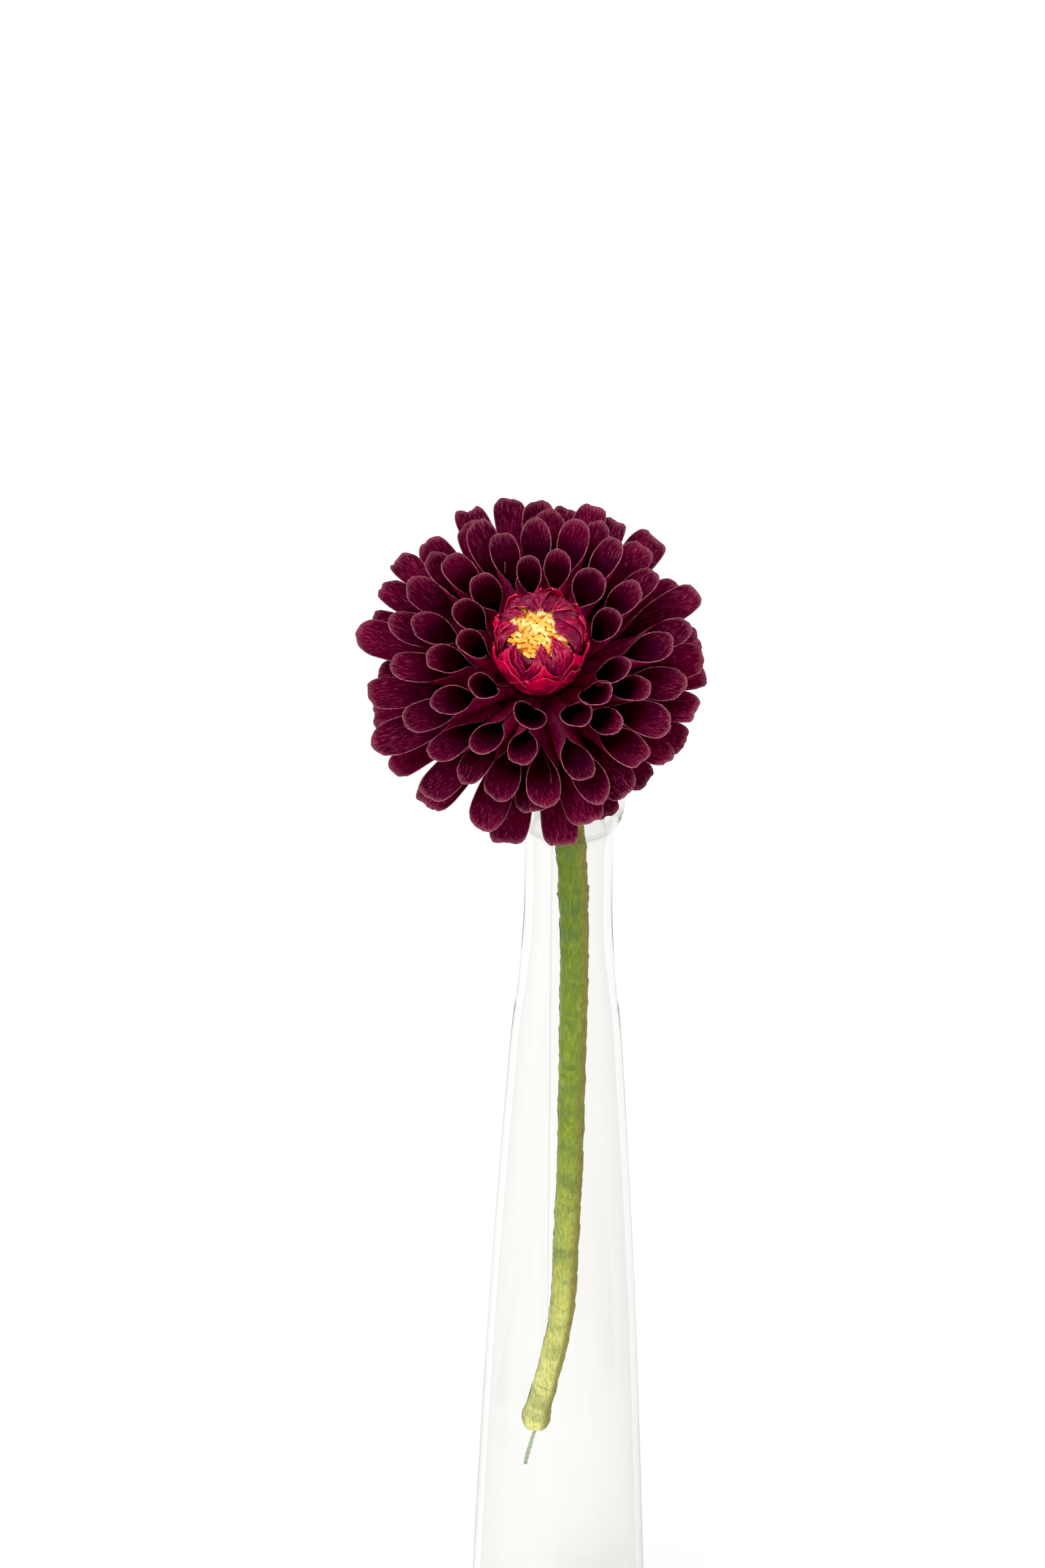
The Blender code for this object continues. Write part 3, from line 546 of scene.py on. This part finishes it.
def bottle_glass():
    """Clear glass with a faint warm tint in upright streaks and a mould seam, and painted shade down its
    right, under the lip and edge-on.
    """
    finish = Finish("bottle_glass", 0.0, IOR=1.18, Transmission_Weight=1.0)
    place = finish.place()
    split = [finish.node("ShaderNodeSeparateXYZ", {}, {"Vector": place}, axis) for axis in "XYZ"]
    drawn = finish.clouds(finish.stretched(place, (1.0, 1.0, 0.02)), 240.0, 2.0)
    finish.relief(drawn, 0.00006, 0.35)
    edge_on = finish.node("ShaderNodeLayerWeight", {}, {"Blend": 0.5}, "Facing")
    streaks = finish.mix(finish.between(drawn, 0.35, 0.65), (0.942, 0.940, 0.930), (0.962, 0.960, 0.951))
    # Painted shade down the bottle's right side
    greyed = finish.mix(finish.between(split[0], -0.010, 0.026) * 0.70, streaks, (0.895, 0.882, 0.864))
    clear = finish.mix(finish.between(split[2], 0.15, 0.03) * 0.70, greyed, (0.966, 0.964, 0.957))
    off_seam = finish.node("ShaderNodeMath", {"operation": "ABSOLUTE"}, {0: split[0] + SEAM_PLACE})
    seam = finish.between(off_seam, SEAM_HALF_WIDTH * 1.6, SEAM_HALF_WIDTH * 0.6)
    seam = seam * finish.between(split[1], 0.0, -0.002) * finish.between(split[2], 0.08, 0.22)
    seamed = finish.mix(seam * 0.35, clear, (0.42, 0.42, 0.40))
    # Painted shade in a dark line round the crease under the lip
    crease = finish.between(split[2], LIP_BOTTOM - 0.0012, LIP_BOTTOM - 0.0002)
    crease = crease * finish.between(split[2], LIP_BOTTOM + 0.0014, LIP_BOTTOM + 0.0004)
    lip_line_shaded = finish.mix(crease * 0.60, seamed, (0.40, 0.41, 0.38))
    lip_share = finish.between(split[2], LIP_BOTTOM - 0.0030, LIP_BOTTOM + 0.0050)
    lip = finish.mix(lip_share * 0.75, lip_line_shaded, (0.810, 0.816, 0.792))
    # Painted shade where the glass is seen edge-on, darkest at its outlines
    soft = finish.mix(edge_on ** 3.0 * 0.62, lip, (0.60, 0.585, 0.550))
    return finish.paint(Base_Color=finish.mix(edge_on ** 10.0 * 0.35, soft, (0.36, 0.355, 0.33)))


def pale_floor():
    finish = Finish(
        "pale_floor", 0.9, Specular_IOR_Level=0.1, Emission_Color=(1, 1, 1, 1), Emission_Strength=0.62,
    )
    mottle = finish.clouds(finish.place(), 3.0, 2.0)
    return finish.paint(Base_Color=finish.mix(mottle, (0.36, 0.36, 0.36), (0.38, 0.38, 0.38)))


# Shaping

def head_frame():
    lean = Matrix.Rotation(math.radians(HEAD_LEAN), 4, "X")
    origin = BUD_CENTRE - lean.to_3x3() @ Vector((0.0, 0.0, BUD_CENTRE_DEPTH))
    return Matrix.Translation(origin) @ lean


HEAD = head_frame()


class Sheets:
    """Paper sheets of one piece. Each is a grid whose points are placed by a formula."""

    def __init__(self):
        self.bm = bmesh.new()
        self.map = self.bm.loops.layers.uv.new("paper")
        self.layers = {}

    def layer(self, name):
        if name not in self.layers:
            self.layers[name] = self.bm.verts.layers.float.new(name)
        return self.layers[name]

    def add(self, columns, rows, place, paper_mm, **values):
        """place(x, y) gives a point for x from -1 to 1 across and y from 0 to 1 along.

        paper_mm is the flat sheet's half width and length. Each value is a number, or a function of x and y.
        """
        for name in values:
            self.layer(name)
        made = bmesh.ops.create_grid(self.bm, x_segments=columns, y_segments=rows, size=1.0)["verts"]
        flat = {vertex: (vertex.co.x, (vertex.co.y + 1) / 2) for vertex in made}
        shift = len(self.bm.verts) % 977
        for face in {face for vertex in made for face in vertex.link_faces}:
            face.smooth = True
            for loop in face.loops:
                x, y = flat[loop.vert]
                loop[self.map].uv = (x * paper_mm[0] + shift, y * paper_mm[1] + shift * 0.37)
        for vertex, (x, y) in flat.items():
            vertex.co = place(x, y)
            for name, value in values.items():
                vertex[self.layers[name]] = value(x, y) if callable(value) else value
        return made


def finished_piece(
    name, bm, materials, nodes, wall=0.0, offset=0.0, sharp=None, matrix=None, levels=0, lined=False,
):
    """The bmesh as a piece of the object that rides on its one body and replaces those nodes."""
    if matrix is not None:
        bmesh.ops.transform(bm, matrix=matrix, verts=bm.verts)
    mesh = bpy.data.meshes.new(name)
    bm.to_mesh(mesh)
    bm.free()
    for material in materials:
        mesh.materials.append(material)
    piece = bpy.data.objects.new(name, mesh)
    bpy.context.scene.collection.objects.link(piece)
    if wall:
        shell = piece.modifiers.new("Wall", "SOLIDIFY")
        shell.thickness = wall
        shell.offset = offset
        shell.material_offset_rim = len(materials) - 1
        if lined:
            shell.material_offset = 1
    if levels:
        soft = piece.modifiers.new("Soft", "SUBSURF")
        soft.levels = soft.render_levels = levels
    if piece.modifiers:
        graph = bpy.context.evaluated_depsgraph_get()
        settled = bpy.data.meshes.new_from_object(piece.evaluated_get(graph))
        piece.modifiers.clear()
        piece.data = settled
    if sharp:
        piece.data.set_sharp_from_angle(angle=math.radians(sharp))
    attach(piece, "root")
    if nodes:
        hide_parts(*nodes)
    return piece


def give(bm, **values):
    """Give every point of the bmesh these values."""
    for name, value in values.items():
        layer = bm.verts.layers.float.new(name)
        for vertex in bm.verts:
            vertex[layer] = value


def arc(first, last, step):
    """The angles of an arc, in radians."""
    return [math.radians(degrees) for degrees in range(first, last, step)]


def spun(profile, steps):
    """A closed outline of (radius, height) pairs, from axis to axis, turned about +Z."""
    bm = bmesh.new()
    bm.loops.layers.uv.new("paper")
    corners = [bm.verts.new((radius, 0.0, height)) for radius, height in profile]
    edges = [bm.edges.new(pair) for pair in zip(corners, corners[1:])]
    bmesh.ops.spin(
        bm, geom=corners + edges, cent=(0, 0, 0), axis=(0, 0, 1), angle=2 * math.pi, steps=steps,
        use_merge=True,
    )
    bmesh.ops.remove_doubles(bm, verts=bm.verts, dist=0.00001)
    bmesh.ops.recalc_face_normals(bm, faces=bm.faces)
    for face in bm.faces:
        face.smooth = True
    return bm


def bezier(start, first, second, end, share):
    rest = 1 - share
    near = start * rest**3 + first * (3 * rest**2 * share)
    return near + second * (3 * rest * share**2) + end * share**3


def smooth_path(points, spacing):
    """Points about this far apart on a smooth curve through the given ones."""
    ends = [2 * points[0] - points[1], *points, 2 * points[-1] - points[-2]]
    path = [points[0]]
    for before, here, there, after in zip(ends, ends[1:], ends[2:], ends[3:]):
        steps = max(1, round((there - here).length / spacing))
        for step in range(1, steps + 1):
            path.append(bezier(
                here, here + (there - before) / 6, there - (after - here) / 6, there, step / steps
            ))
    return path


class Route:
    """A line that can be read at any distance along it."""

    def __init__(self, points):
        self.points = points
        self.reached = [0.0]
        for before, here in zip(points, points[1:]):
            self.reached.append(self.reached[-1] + (here - before).length)
        self.length = self.reached[-1]

    def at(self, distance):
        """The point there and the line's direction."""
        distance = min(max(distance, 0.0), self.length)
        number = next(i for i in range(1, len(self.points)) if distance <= self.reached[i] + 1e-12)
        before, here = self.points[number - 1], self.points[number]
        share = (distance - self.reached[number - 1]) / (self.reached[number] - self.reached[number - 1])
        return before.lerp(here, share), (here - before).normalized()


# Petals

def petal_point(row, tip, width, twist, length, across):
    """A point of a petal in the head's frame, before it is turned to its clock."""
    leave = math.radians(row["leave"])
    arrive = math.radians(row["arrive"])
    start = Vector(row["root"])
    end = Vector(tip)
    handle = (end - start).length * HANDLE_SHARE
    first = start + Vector((math.sin(leave), math.cos(leave))) * handle
    second = end - Vector((math.sin(arrive), math.cos(arrive))) * handle
    outline = math.sqrt(max(0.0, 1 - abs(across) ** row["squareness"]))
    share = length * (1 - row["arch"] * (1 - outline))
    spine = bezier(start, first, second, end, share)
    ahead = bezier(start, first, second, end, share + LOOK_AHEAD)
    along = (ahead - spine).normalized()
    opens, open_by = row["opening"]
    opened = min(max((share - opens) / (open_by - opens), 0.0), 1.0)
    opened = opened * opened * (3 - 2 * opened)
    radius = (ROLL_RADIUS + (row["mouth"] * width - ROLL_RADIUS) * share**ROLL_GROWTH) * (
        1 + SCROLL * across * (1 - opened)
    )
    wrap = MOST_WRAP + (row["wrap"] - MOST_WRAP) * opened
    turn = wrap * across
    rise = row["flat"] * radius * (1 - math.cos(turn)) * (1 - PRESSED * (1 - opened))
    side = radius * math.sin(turn)
    roll = math.radians(twist) * share
    side, rise = (
        side * math.cos(roll) - rise * math.sin(roll),
        side * math.sin(roll) + rise * math.cos(roll),
    )
    return Vector((side, spine.x - along.y * rise, spine.y + along.x * rise))


def petal_settings():
    """One (row, row's number, clock, tip, width, twist) for each petal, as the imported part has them."""
    chance = random.Random(PETAL_SEED)
    for number, (row, height_sway) in enumerate(zip(ROWS, TIP_HEIGHT_SWAY)):
        for clock, tip_radius, *own_width in row["tips"]:
            tip = (tip_radius * MM, row["tip_height"] + chance.uniform(-1, 1) * height_sway)
            width = (1 + chance.uniform(-1, 1) * WIDTH_SWAY) * (own_width[0] if own_width else 1)
            twist = chance.uniform(-1, 1) * TWIST_SWAY
            yield row, number, clock, tip, width, twist


def add_petal(sheets, columns, rows, row, number, clock, tip, width, twist, seed):
    """One petal, with a slightly uneven cut and a rippled tip."""
    turn = Matrix.Rotation(math.radians(-clock), 3, "Z")
    flat_length_mm = math.dist(tip, row["root"]) * PAPER_SLACK / MM
    half_mm = row["mouth"] * row["wrap"] * width / MM

    def wave(pattern, across, y):
        often_across, often_along, apart, start = pattern
        return noise.noise(Vector((across * half_mm * often_across, y * often_along, seed * apart + start)))

    def place(x, y):
        across = math.sin(math.pi / 2 * x)
        length = ROOT_SHARE + (1 - ROOT_SHARE) * (1 - (1 - y) ** TIP_CROWDING)
        cut = sum(
            noise.noise(Vector((across * often, seed * apart, start))) * depth
            for often, apart, start, depth in CUT_WAVES
        )
        point = petal_point(row, tip, width, twist, length * (1 + cut * y**4), across)
        loose = y**5
        ripple = wave(RIPPLE, across, y)
        point.z += (ripple * RIPPLE_DEPTH + wave(FINE_RIPPLE, across, y) * FINE_RIPPLE_DEPTH) * loose
        point.y -= ripple * RIPPLE_SWAY * loose
        return turn @ point

    # How near a point is to the cut edge, for the painted sheen there
    def near_cut(x, y):
        side_mm = (1 - abs(math.sin(math.pi / 2 * x))) * half_mm
        end_mm = (1 - y) * flat_length_mm
        return max(0.0, 1 - min(side_mm * 1.2, end_mm * 0.5) / SHEEN_RIM_MM)

    dark_from, dark_over, most = THROAT_PAINTED_SHADE[number]

    # How much painted shade a point inside the roll gets
    def deep(x, y):
        length = 1 - (1 - y) ** TIP_CROWDING
        return most * min(1.0, max(0.0, (dark_from - length) / dark_over)) ** PAINTED_SHADE_POWER

    sheets.add(
        columns, rows, place, (half_mm, flat_length_mm),
        tone=random.Random(seed).random(), near_cut=near_cut, deep=deep,
    )


def make_petals():
    crepe, throat, edge = burgundy_crepe("burgundy_crepe"), burgundy_crepe("burgundy_throat"), cut_edge()
    batches = {
        "petals_inner": ((0, 1), 30, 26),
        "petals_middle": ((2,), 28, 24),
        "petals_outer": ((3, 4), 28, 24),
    }
    settings = list(enumerate(petal_settings()))
    for name, (rows_in, columns, rows) in batches.items():
        sheets = Sheets()
        for seed, (row, number, clock, tip, width, twist) in settings:
            if number in rows_in:
                add_petal(sheets, columns, rows, row, number, clock, tip, width, twist, seed + 1)
        finished_piece(
            name, sheets.bm, [throat, crepe, edge], ["petals"],
            wall=PAPER, sharp=50, matrix=HEAD, lined=True,
        )
    core = spun([(radius * MM, height * MM) for radius, height in CORE_PROFILE_MM], 48)
    # The core behind the petals is in full painted shade
    give(core, tone=0.0, near_cut=0.0, deep=1.0)
    finished_piece("petal_core", core, [throat], ["petals"], matrix=HEAD)


# Bud and florets

BUD_LINE = Route(smooth_path([Vector((r * MM, z * MM)) for r, z in BUD_OUTLINE_MM], 0.0004))


def opening_reach(clock):
    """How far along the bud's outline the opening's edge is at this clock, in mm."""
    way = Vector((math.sin(math.radians(clock)), math.cos(math.radians(clock))))
    centre = Vector(OPENING_CENTRE_MM)
    along = centre.dot(way)
    edge = along + math.sqrt(max(0.0, OPENING_RADIUS_MM**2 - (centre.length_squared - along**2)))
    return RIM_REACH_MM + (RIM_RADIUS_MM - edge) * RIM_STRETCH


def add_scale(sheets, chance, ring_number, ring, number):
    count, phase, base, tip, half_mm, stand_off, follow, short = ring
    clock = phase + 360 / count * number + chance.uniform(-7, 7)
    base_mm = base + chance.uniform(-0.5, 0.5)
    tip_mm = tip + chance.uniform(-0.9, 0.9)
    if follow:
        tip_mm += (opening_reach(clock) - short - tip) * follow
    half_mm *= chance.uniform(0.92, 1.08)
    stand_off += chance.uniform(-0.2, 0.3)
    turn = Matrix.Rotation(math.radians(-clock), 3, "Z")
    skew = chance.uniform(-0.25, 0.25)
    seed = ring_number * 20 + number
    lift_mm = 0.10 + LAP_STEP_MM * (len(SCALE_RINGS) - ring_number)
    shade = chance.uniform(-0.12, 0.12)
    # Painted shade on the scales above the opening, more on the inner rings
    shade += UPPER_PAINTED_SHADE * max(0.0, math.cos(math.radians(clock))) * ring_number / (len(SCALE_RINGS) - 1)

    def place(x, y):
        centre, ahead = BUD_LINE.at((base_mm + (tip_mm - base_mm) * y) * MM)
        outward = Vector((ahead.y, -ahead.x))
        half = half_mm * (1 - SCALE_POINT * y**1.35) * (0.80 + 0.20 * min(y * 4, 1))
        crumple = noise.noise(Vector((x * 1.3, y * 2.0, seed * 3.7)))
        crease = abs(noise.noise(Vector((x * 2.2 + y * 1.8, y * 2.2 - x, seed * 1.9 + 9.0))))
        keel = (1 - abs(x)) * (1 - y) * SCALE_KEEL_MM
        flare = SCALE_FLARE_MM * abs(x) ** 2 * (1 - y) ** 0.5
        loose = min(1.0, y * 2) * (1 - 0.5 * y)
        folds = (crumple * SCALE_CRUMPLE_MM - crease * SCALE_CREASE_MM) * loose * (1 - HELD_FLAT * follow)
        lift = lift_mm + stand_off * y**2.0 + keel + flare + folds
        sideways = half * x + skew * y * 2
        turned = sideways * MM / max(centre.x, LEAST_TURN_RADIUS)
        turned = max(min(turned, MOST_TURN), -MOST_TURN)
        reach = centre.x + outward.x * lift * MM
        return turn @ Vector((
            math.sin(turned) * reach, math.cos(turned) * reach, centre.y + outward.y * lift * MM,
        ))

    def tone(x, y):
        # Darker on the inner rings, and painted shade towards each scale's base where it tucks under the next
        ring_shade = 0.15 * ring_number + 0.15 * (ring_number > 2) - 0.15
        return min(1.0, max(0.0, ring_shade + 0.80 * (1 - y) ** 1.5 + shade))

    sheets.add(12, 16, place, (half_mm, tip_mm - base_mm), tone=tone)


def make_bud():
    lacquer, edge = crimson_lacquer(), crimson_edge()
    chance = random.Random(SCALE_SEED)
    sheets = Sheets()
    for ring_number, ring in enumerate(SCALE_RINGS):
        for number in range(ring[0]):
            add_scale(sheets, chance, ring_number, ring, number)
    finished_piece(
        "bud_scales", sheets.bm, [lacquer, edge], ["bud"],
        wall=SCALE_PAPER, offset=-1.0, sharp=50, matrix=HEAD,
    )
    outside = [(radius - 0.3, height) for radius, height in BUD_OUTLINE_MM if height < 26]
    profile = [(0.0, 4.5), *outside, *BUD_CUP_MM]
    egg = spun([(radius * MM, height * MM) for radius, height in profile], 64)
    # The egg shows only in the gaps between the scales, in the painted shade of their tucked-in bases
    give(egg, tone=EGG_PAINTED_SHADE)
    finished_piece("bud_egg", egg, [lacquer], ["bud"], matrix=HEAD)


def make_florets():
    yolk = yolk_paper()
    chance = random.Random(CHIP_SEED)
    bm = bmesh.new()
    tone = bm.verts.layers.float.new("tone")
    sunk = bm.verts.layers.float.new("sunk")
    long_mm, wide_mm, deep_mm = CHIP_MM
    long_step, wide_step = long_mm * CHIP_SPACING[0], wide_mm * CHIP_SPACING[1]
    for patch, (middle_x, middle_y, way) in enumerate(CHIP_PATCHES):
        run = Matrix.Rotation(math.radians(way), 2)
        for across in range(-10, 11):
            for along in range(-6, 7):
                spot = run @ Vector(((along + 0.5 * (across % 2)) * long_step, across * wide_step))
                spot += Vector((middle_x, middle_y))
                nearest = min(
                    range(len(CHIP_PATCHES)),
                    key=lambda other: (spot - Vector(CHIP_PATCHES[other][:2])).length,
                )
                if nearest != patch or spot.length > CHIP_REACH_MM:
                    continue
                made = bmesh.ops.create_cube(bm, size=1.0)["verts"]
                size = Vector((
                    long_mm * chance.uniform(0.90, 1.06), wide_mm * chance.uniform(0.92, 1.04), deep_mm,
                )) * MM
                bmesh.ops.scale(bm, vec=size, verts=made)
                edges = list({edge for vertex in made for edge in vertex.link_edges})
                bevelled = bmesh.ops.bevel(
                    bm, geom=edges, offset=CHIP_ROUNDING, segments=2, affect="EDGES", profile=0.5,
                    material=-1,
                )
                made = list({vertex for face in bevelled["faces"] for vertex in face.verts})
                out = Vector((
                    spot.x * MM, spot.y * MM, math.sqrt(DOME_RADIUS**2 - (spot.length * MM) ** 2),
                )).normalized()
                lean = out.to_track_quat("Z", "Y").to_matrix().to_4x4()
                spin = Matrix.Rotation(math.radians(way + chance.uniform(-9, 9)), 4, "Z")
                tilt = Matrix.Rotation(math.radians(chance.uniform(-5, 5)), 4, "X")
                height = DOME_RADIUS + chance.uniform(-CHIP_SWAY, CHIP_SWAY)
                place = Matrix.Translation(Vector((0, 0, DOME_CENTRE)) + out * height)
                shade = chance.random()
                # Each chip's own random shade, with painted light making chips lighter towards the top and
                # right
                light = 0.52 + 0.030 * (spot.y + 0.4 * spot.x) + (shade - 0.5) * 0.8
                for vertex in made:
                    vertex[tone] = min(max(light, 0.0), 1.0)
                    # The chips' sides, down in the gaps, get painted shade
                    vertex[sunk] = 0.0 if vertex.co.z > CHIP_FACE else CHIP_SIDE_SHADE
                bmesh.ops.transform(bm, matrix=place @ lean @ spin @ tilt, verts=made)
    for face in bm.faces:
        face.smooth = True
    finished_piece("floret_chips", bm, [yolk], ["florets"], sharp=40, matrix=HEAD)
    foot = [(radius * MM, height * MM) for radius, height in CHIP_GROUND_FOOT_MM]
    dome = [
        (DOME_RADIUS * math.cos(turn), DOME_CENTRE + DOME_RADIUS * math.sin(turn)) for turn in arc(58, 90, 4)
    ]
    base = spun([*foot, *dome, (0.0, DOME_CENTRE + DOME_RADIUS)], 48)
    # The ground under the chips is in full painted shade
    give(base, tone=0.3, sunk=1.0)
    finished_piece("floret_ground", base, [yolk], ["florets"], matrix=HEAD)


# Stem, wire and calyx

def add_tube(sheets, route, radius_at, columns, rows, **values):
    """A tube round the route. radius_at(share, turn) is its radius, and it closes where that is 0."""
    reference = Vector((1.0, 0.0, 0.0))

    def place(x, y):
        centre, ahead = route.at(y * route.length)
        side = (reference - ahead * reference.dot(ahead)).normalized()
        up = ahead.cross(side)
        turn = math.pi * x
        return centre + (side * math.cos(turn) + up * math.sin(turn)) * radius_at(y, turn)

    made = sheets.add(columns, rows, place, (math.pi * STEM_RADIUS / MM, route.length / MM), **values)
    bmesh.ops.remove_doubles(sheets.bm, verts=made, dist=0.000004)


def make_stem():
    top = HEAD @ Vector((0.0, 0.0, STEM_TOP_DEPTH))
    line = [top, *[Vector(point) * MM for point in STEM_ROUTE_MM], Vector(STEM_TIP_MM) * MM]
    route = Route(smooth_path(line, 0.002))
    long_mm = route.length / MM

    def turns(y, turn):
        """How many laps of tape there are above this point."""
        drift = noise.noise(Vector((y * 14.0, 0.0, 3.3))) * 0.75
        wave = noise.noise(Vector((y * 60.0, math.cos(turn) * 0.9, math.sin(turn) * 0.9))) * 0.16
        return y * long_mm / TAPE_TURN_MM + turn / (2 * math.pi) * TAPE_SLANT + drift + wave

    def lap(x, y):
        return turns(y, math.pi * x) % 1.0

    def radius_at(y, turn):
        if y <= 0.0 or y >= 1.0:
            return 0.0
        below_mm = (1 - y) * long_mm
        seam = turns(y, turn) % 1.0
        proud = 0.55 + 0.9 * abs(noise.noise(Vector((y * 22.0, 5.0, 1.0))))
        swell = TAPE_STEP * proud * (1 - seam) ** 1.3 if y > 0.035 else 0.0
        way = (math.cos(turn), math.sin(turn))
        bumps = sum(
            noise.noise(Vector((y * along, way[0] * around, way[1] * around))) * height
            for along, around, height in TAPE_BUMPS
        )
        radius = STEM_RADIUS - TAPE_THICKNESS + swell + bumps
        if below_mm < FLARE_MM:
            radius += FLARE * (1 - below_mm / FLARE_MM) ** 0.8
        if below_mm < TORN_MM:
            torn = noise.noise(Vector((3.0, way[0] * 1.6, way[1] * 1.6))) * 1.1
            radius *= TORN_SHARE + (1 - TORN_SHARE) * min(1.0, max(0.0, (below_mm - 2.1 + torn) / 0.7))
        return radius

    sheets = Sheets()
    add_tube(
        sheets, route, radius_at, 44, 760,
        down=lambda x, y: y, rightward=lambda x, y: math.cos(math.pi * x), lap=lap,
    )
    bmesh.ops.recalc_face_normals(sheets.bm, faces=sheets.bm.faces)
    finished_piece("stem_wrap", sheets.bm, [green_tape()], ["stem"], sharp=60)

    tail = [Vector(point) * MM for point in (STEM_ROUTE_MM[-1], STEM_TIP_MM, *WIRE_TAIL_MM)]
    tail_route = Route(smooth_path(tail, 0.001))

    def wire_radius(y, turn):
        if y <= 0.0 or y >= 1.0:
            return 0.0
        return WIRE_RADIUS * (1 + 0.14 * math.sin(turn + y * 60.0)) * (0.82 + 0.35 * y)

    sheets = Sheets()
    add_tube(sheets, tail_route, wire_radius, 16, 90)
    bmesh.ops.recalc_face_normals(sheets.bm, faces=sheets.bm.faces)
    finished_piece("wire_tail", sheets.bm, [wire_tape()], ["wire"])


def make_calyx():
    leaf = leaf_crepe()
    sheets = Sheets()
    root_radius, root_height = SEPAL_ROOT
    for number in range(SEPALS):
        spin = Matrix.Rotation(2 * math.pi * number / SEPALS, 3, "Z")

        def place(x, y, spin=spin, number=number):
            half = SEPAL_HALF_WIDTH * math.sin(math.pi * (0.22 + 0.76 * y)) ** 0.8
            wave = noise.noise(Vector((x * 1.2, y * 3.0, number * 4.1))) * 0.0005 * y
            fold = 0.0006 * x * x - 0.0002 * (1 - abs(x)) ** 3
            height = root_height - SEPAL_FALL * y * y + fold + wave
            return spin @ Vector((half * x, root_radius + SEPAL_LENGTH * y, height))

        flat_mm = (SEPAL_HALF_WIDTH / MM, SEPAL_LENGTH / MM)
        sheets.add(12, 18, place, flat_mm, rib=lambda x, y: 1 - abs(x))
    finished_piece(
        "calyx_sepals", sheets.bm, [leaf], ["calyx"], wall=SEPAL_PAPER, sharp=50, matrix=HEAD,
    )
    collar = spun([(radius * MM, height * MM) for radius, height in COLLAR_PROFILE_MM], 56)
    give(collar, rib=0.0)
    finished_piece("calyx_collar", collar, [leaf], ["calyx"], matrix=HEAD)


# Bottle

def bottle_profile():
    """The bottle's outline, from the middle of its floor up the inside and down the outside to its base."""
    inside, outside = (
        smooth_path([Vector(point) for point in line], 0.004) for line in (BOTTLE_INSIDE, BOTTLE_OUTSIDE)
    )
    inner_height = LIP_ROUND * LIP_SQUASH
    mouth = [Vector((MOUTH_RADIUS, LIP_BOTTOM)), Vector((MOUTH_RADIUS, VASE_HEIGHT - LIP_ROUND * 1.6))]
    middle = (VASE_HEIGHT + LIP_BOTTOM) / 2
    half = (VASE_HEIGHT - LIP_BOTTOM) / 2
    start = MOUTH_RADIUS + LIP_ROUND
    inner_lip = [
        Vector((start + LIP_ROUND * math.cos(turn), VASE_HEIGHT + inner_height * (math.sin(turn) - 1)))
        for turn in arc(170, 95, -15)
    ]
    lip = [
        Vector((start + (LIP_RADIUS - start) * math.cos(turn), middle + half * math.sin(turn)))
        for turn in arc(90, -75, -8)
    ]
    heel = [
        Vector((FOOT_RADIUS - HEEL_RADIUS * (1 - math.cos(turn)), HEEL_RADIUS * (1 + math.sin(turn))))
        for turn in arc(-15, -91, -15)
    ]
    floor = [Vector(point) for point in BOTTLE_FLOOR]
    return [*floor, *inside, *mouth, *inner_lip, *lip, *outside, *heel, Vector((0.0, 0.0))]


def make_bottle():
    bm = spun([tuple(point) for point in bottle_profile()], VASE_STEPS)
    finished_piece("bottle", bm, [bottle_glass()], ["vase"])


# Studio

def make_floor():
    bm = bmesh.new()
    bmesh.ops.create_circle(bm, cap_ends=True, radius=FLOOR_RADIUS, segments=96)
    mesh = bpy.data.meshes.new("floor")
    bm.to_mesh(mesh)
    bm.free()
    mesh.materials.append(pale_floor())
    floor = bpy.data.objects.new("floor", mesh)
    bpy.context.scene.collection.objects.link(floor)
    floor.location.z = -FLOOR_DROP


def add_softbox(name, place, aim, size, power):
    light = bpy.data.lights.new(name, "AREA")
    light.shape = "SQUARE"
    light.size = size
    light.energy = power
    box = bpy.data.objects.new(name, light)
    bpy.context.scene.collection.objects.link(box)
    box.location = place
    box.rotation_euler = (Vector(aim) - Vector(place)).to_track_quat("-Z", "Y").to_euler()


def light_studio():
    world = bpy.data.worlds.new("studio")
    world.use_nodes = True
    background = world.node_tree.nodes["Background"]
    background.inputs["Color"].default_value = (1.0, 1.0, 1.0, 1.0)
    background.inputs["Strength"].default_value = 0.66
    bpy.context.scene.world = world
    add_softbox("key_softbox", (-0.75, -0.60, 1.5), (0, 0, 0.3), 0.6, 9)
    add_softbox("fill_softbox", (0.35, -1.15, 0.55), (0, 0, 0.35), 0.8, 7)
    high = bpy.data.lights.new("high_window", "SUN")
    high.energy = 1.5
    high.angle = math.radians(60)
    window = bpy.data.objects.new("high_window", high)
    bpy.context.scene.collection.objects.link(window)
    window.rotation_euler = Vector((0.55, 0.55, -1.0)).to_track_quat("-Z", "Y").to_euler()
    view = bpy.context.scene.view_settings
    view.view_transform = "Standard"
    view.use_curve_mapping = True
    view.curve_mapping.black_level = (0.005, 0.005, 0.005)


def set_camera():
    lens = bpy.data.cameras.new("camera")
    lens.lens = LENS
    lens.sensor_width = 36.0
    lens.clip_start = 0.01
    camera = bpy.data.objects.new("camera", lens)
    bpy.context.scene.collection.objects.link(camera)
    tilt = Matrix.Rotation(math.radians(CAMERA_TILT), 4, "X")
    roll = Matrix.Rotation(math.radians(CAMERA_ROLL), 4, "Z")
    camera.matrix_world = Matrix.Translation(CAMERA_PLACE) @ tilt @ roll
    bpy.context.scene.camera = camera


set_camera()
make_petals()
make_bud()
make_florets()
make_stem()
make_calyx()
make_bottle()
make_floor()
light_studio()
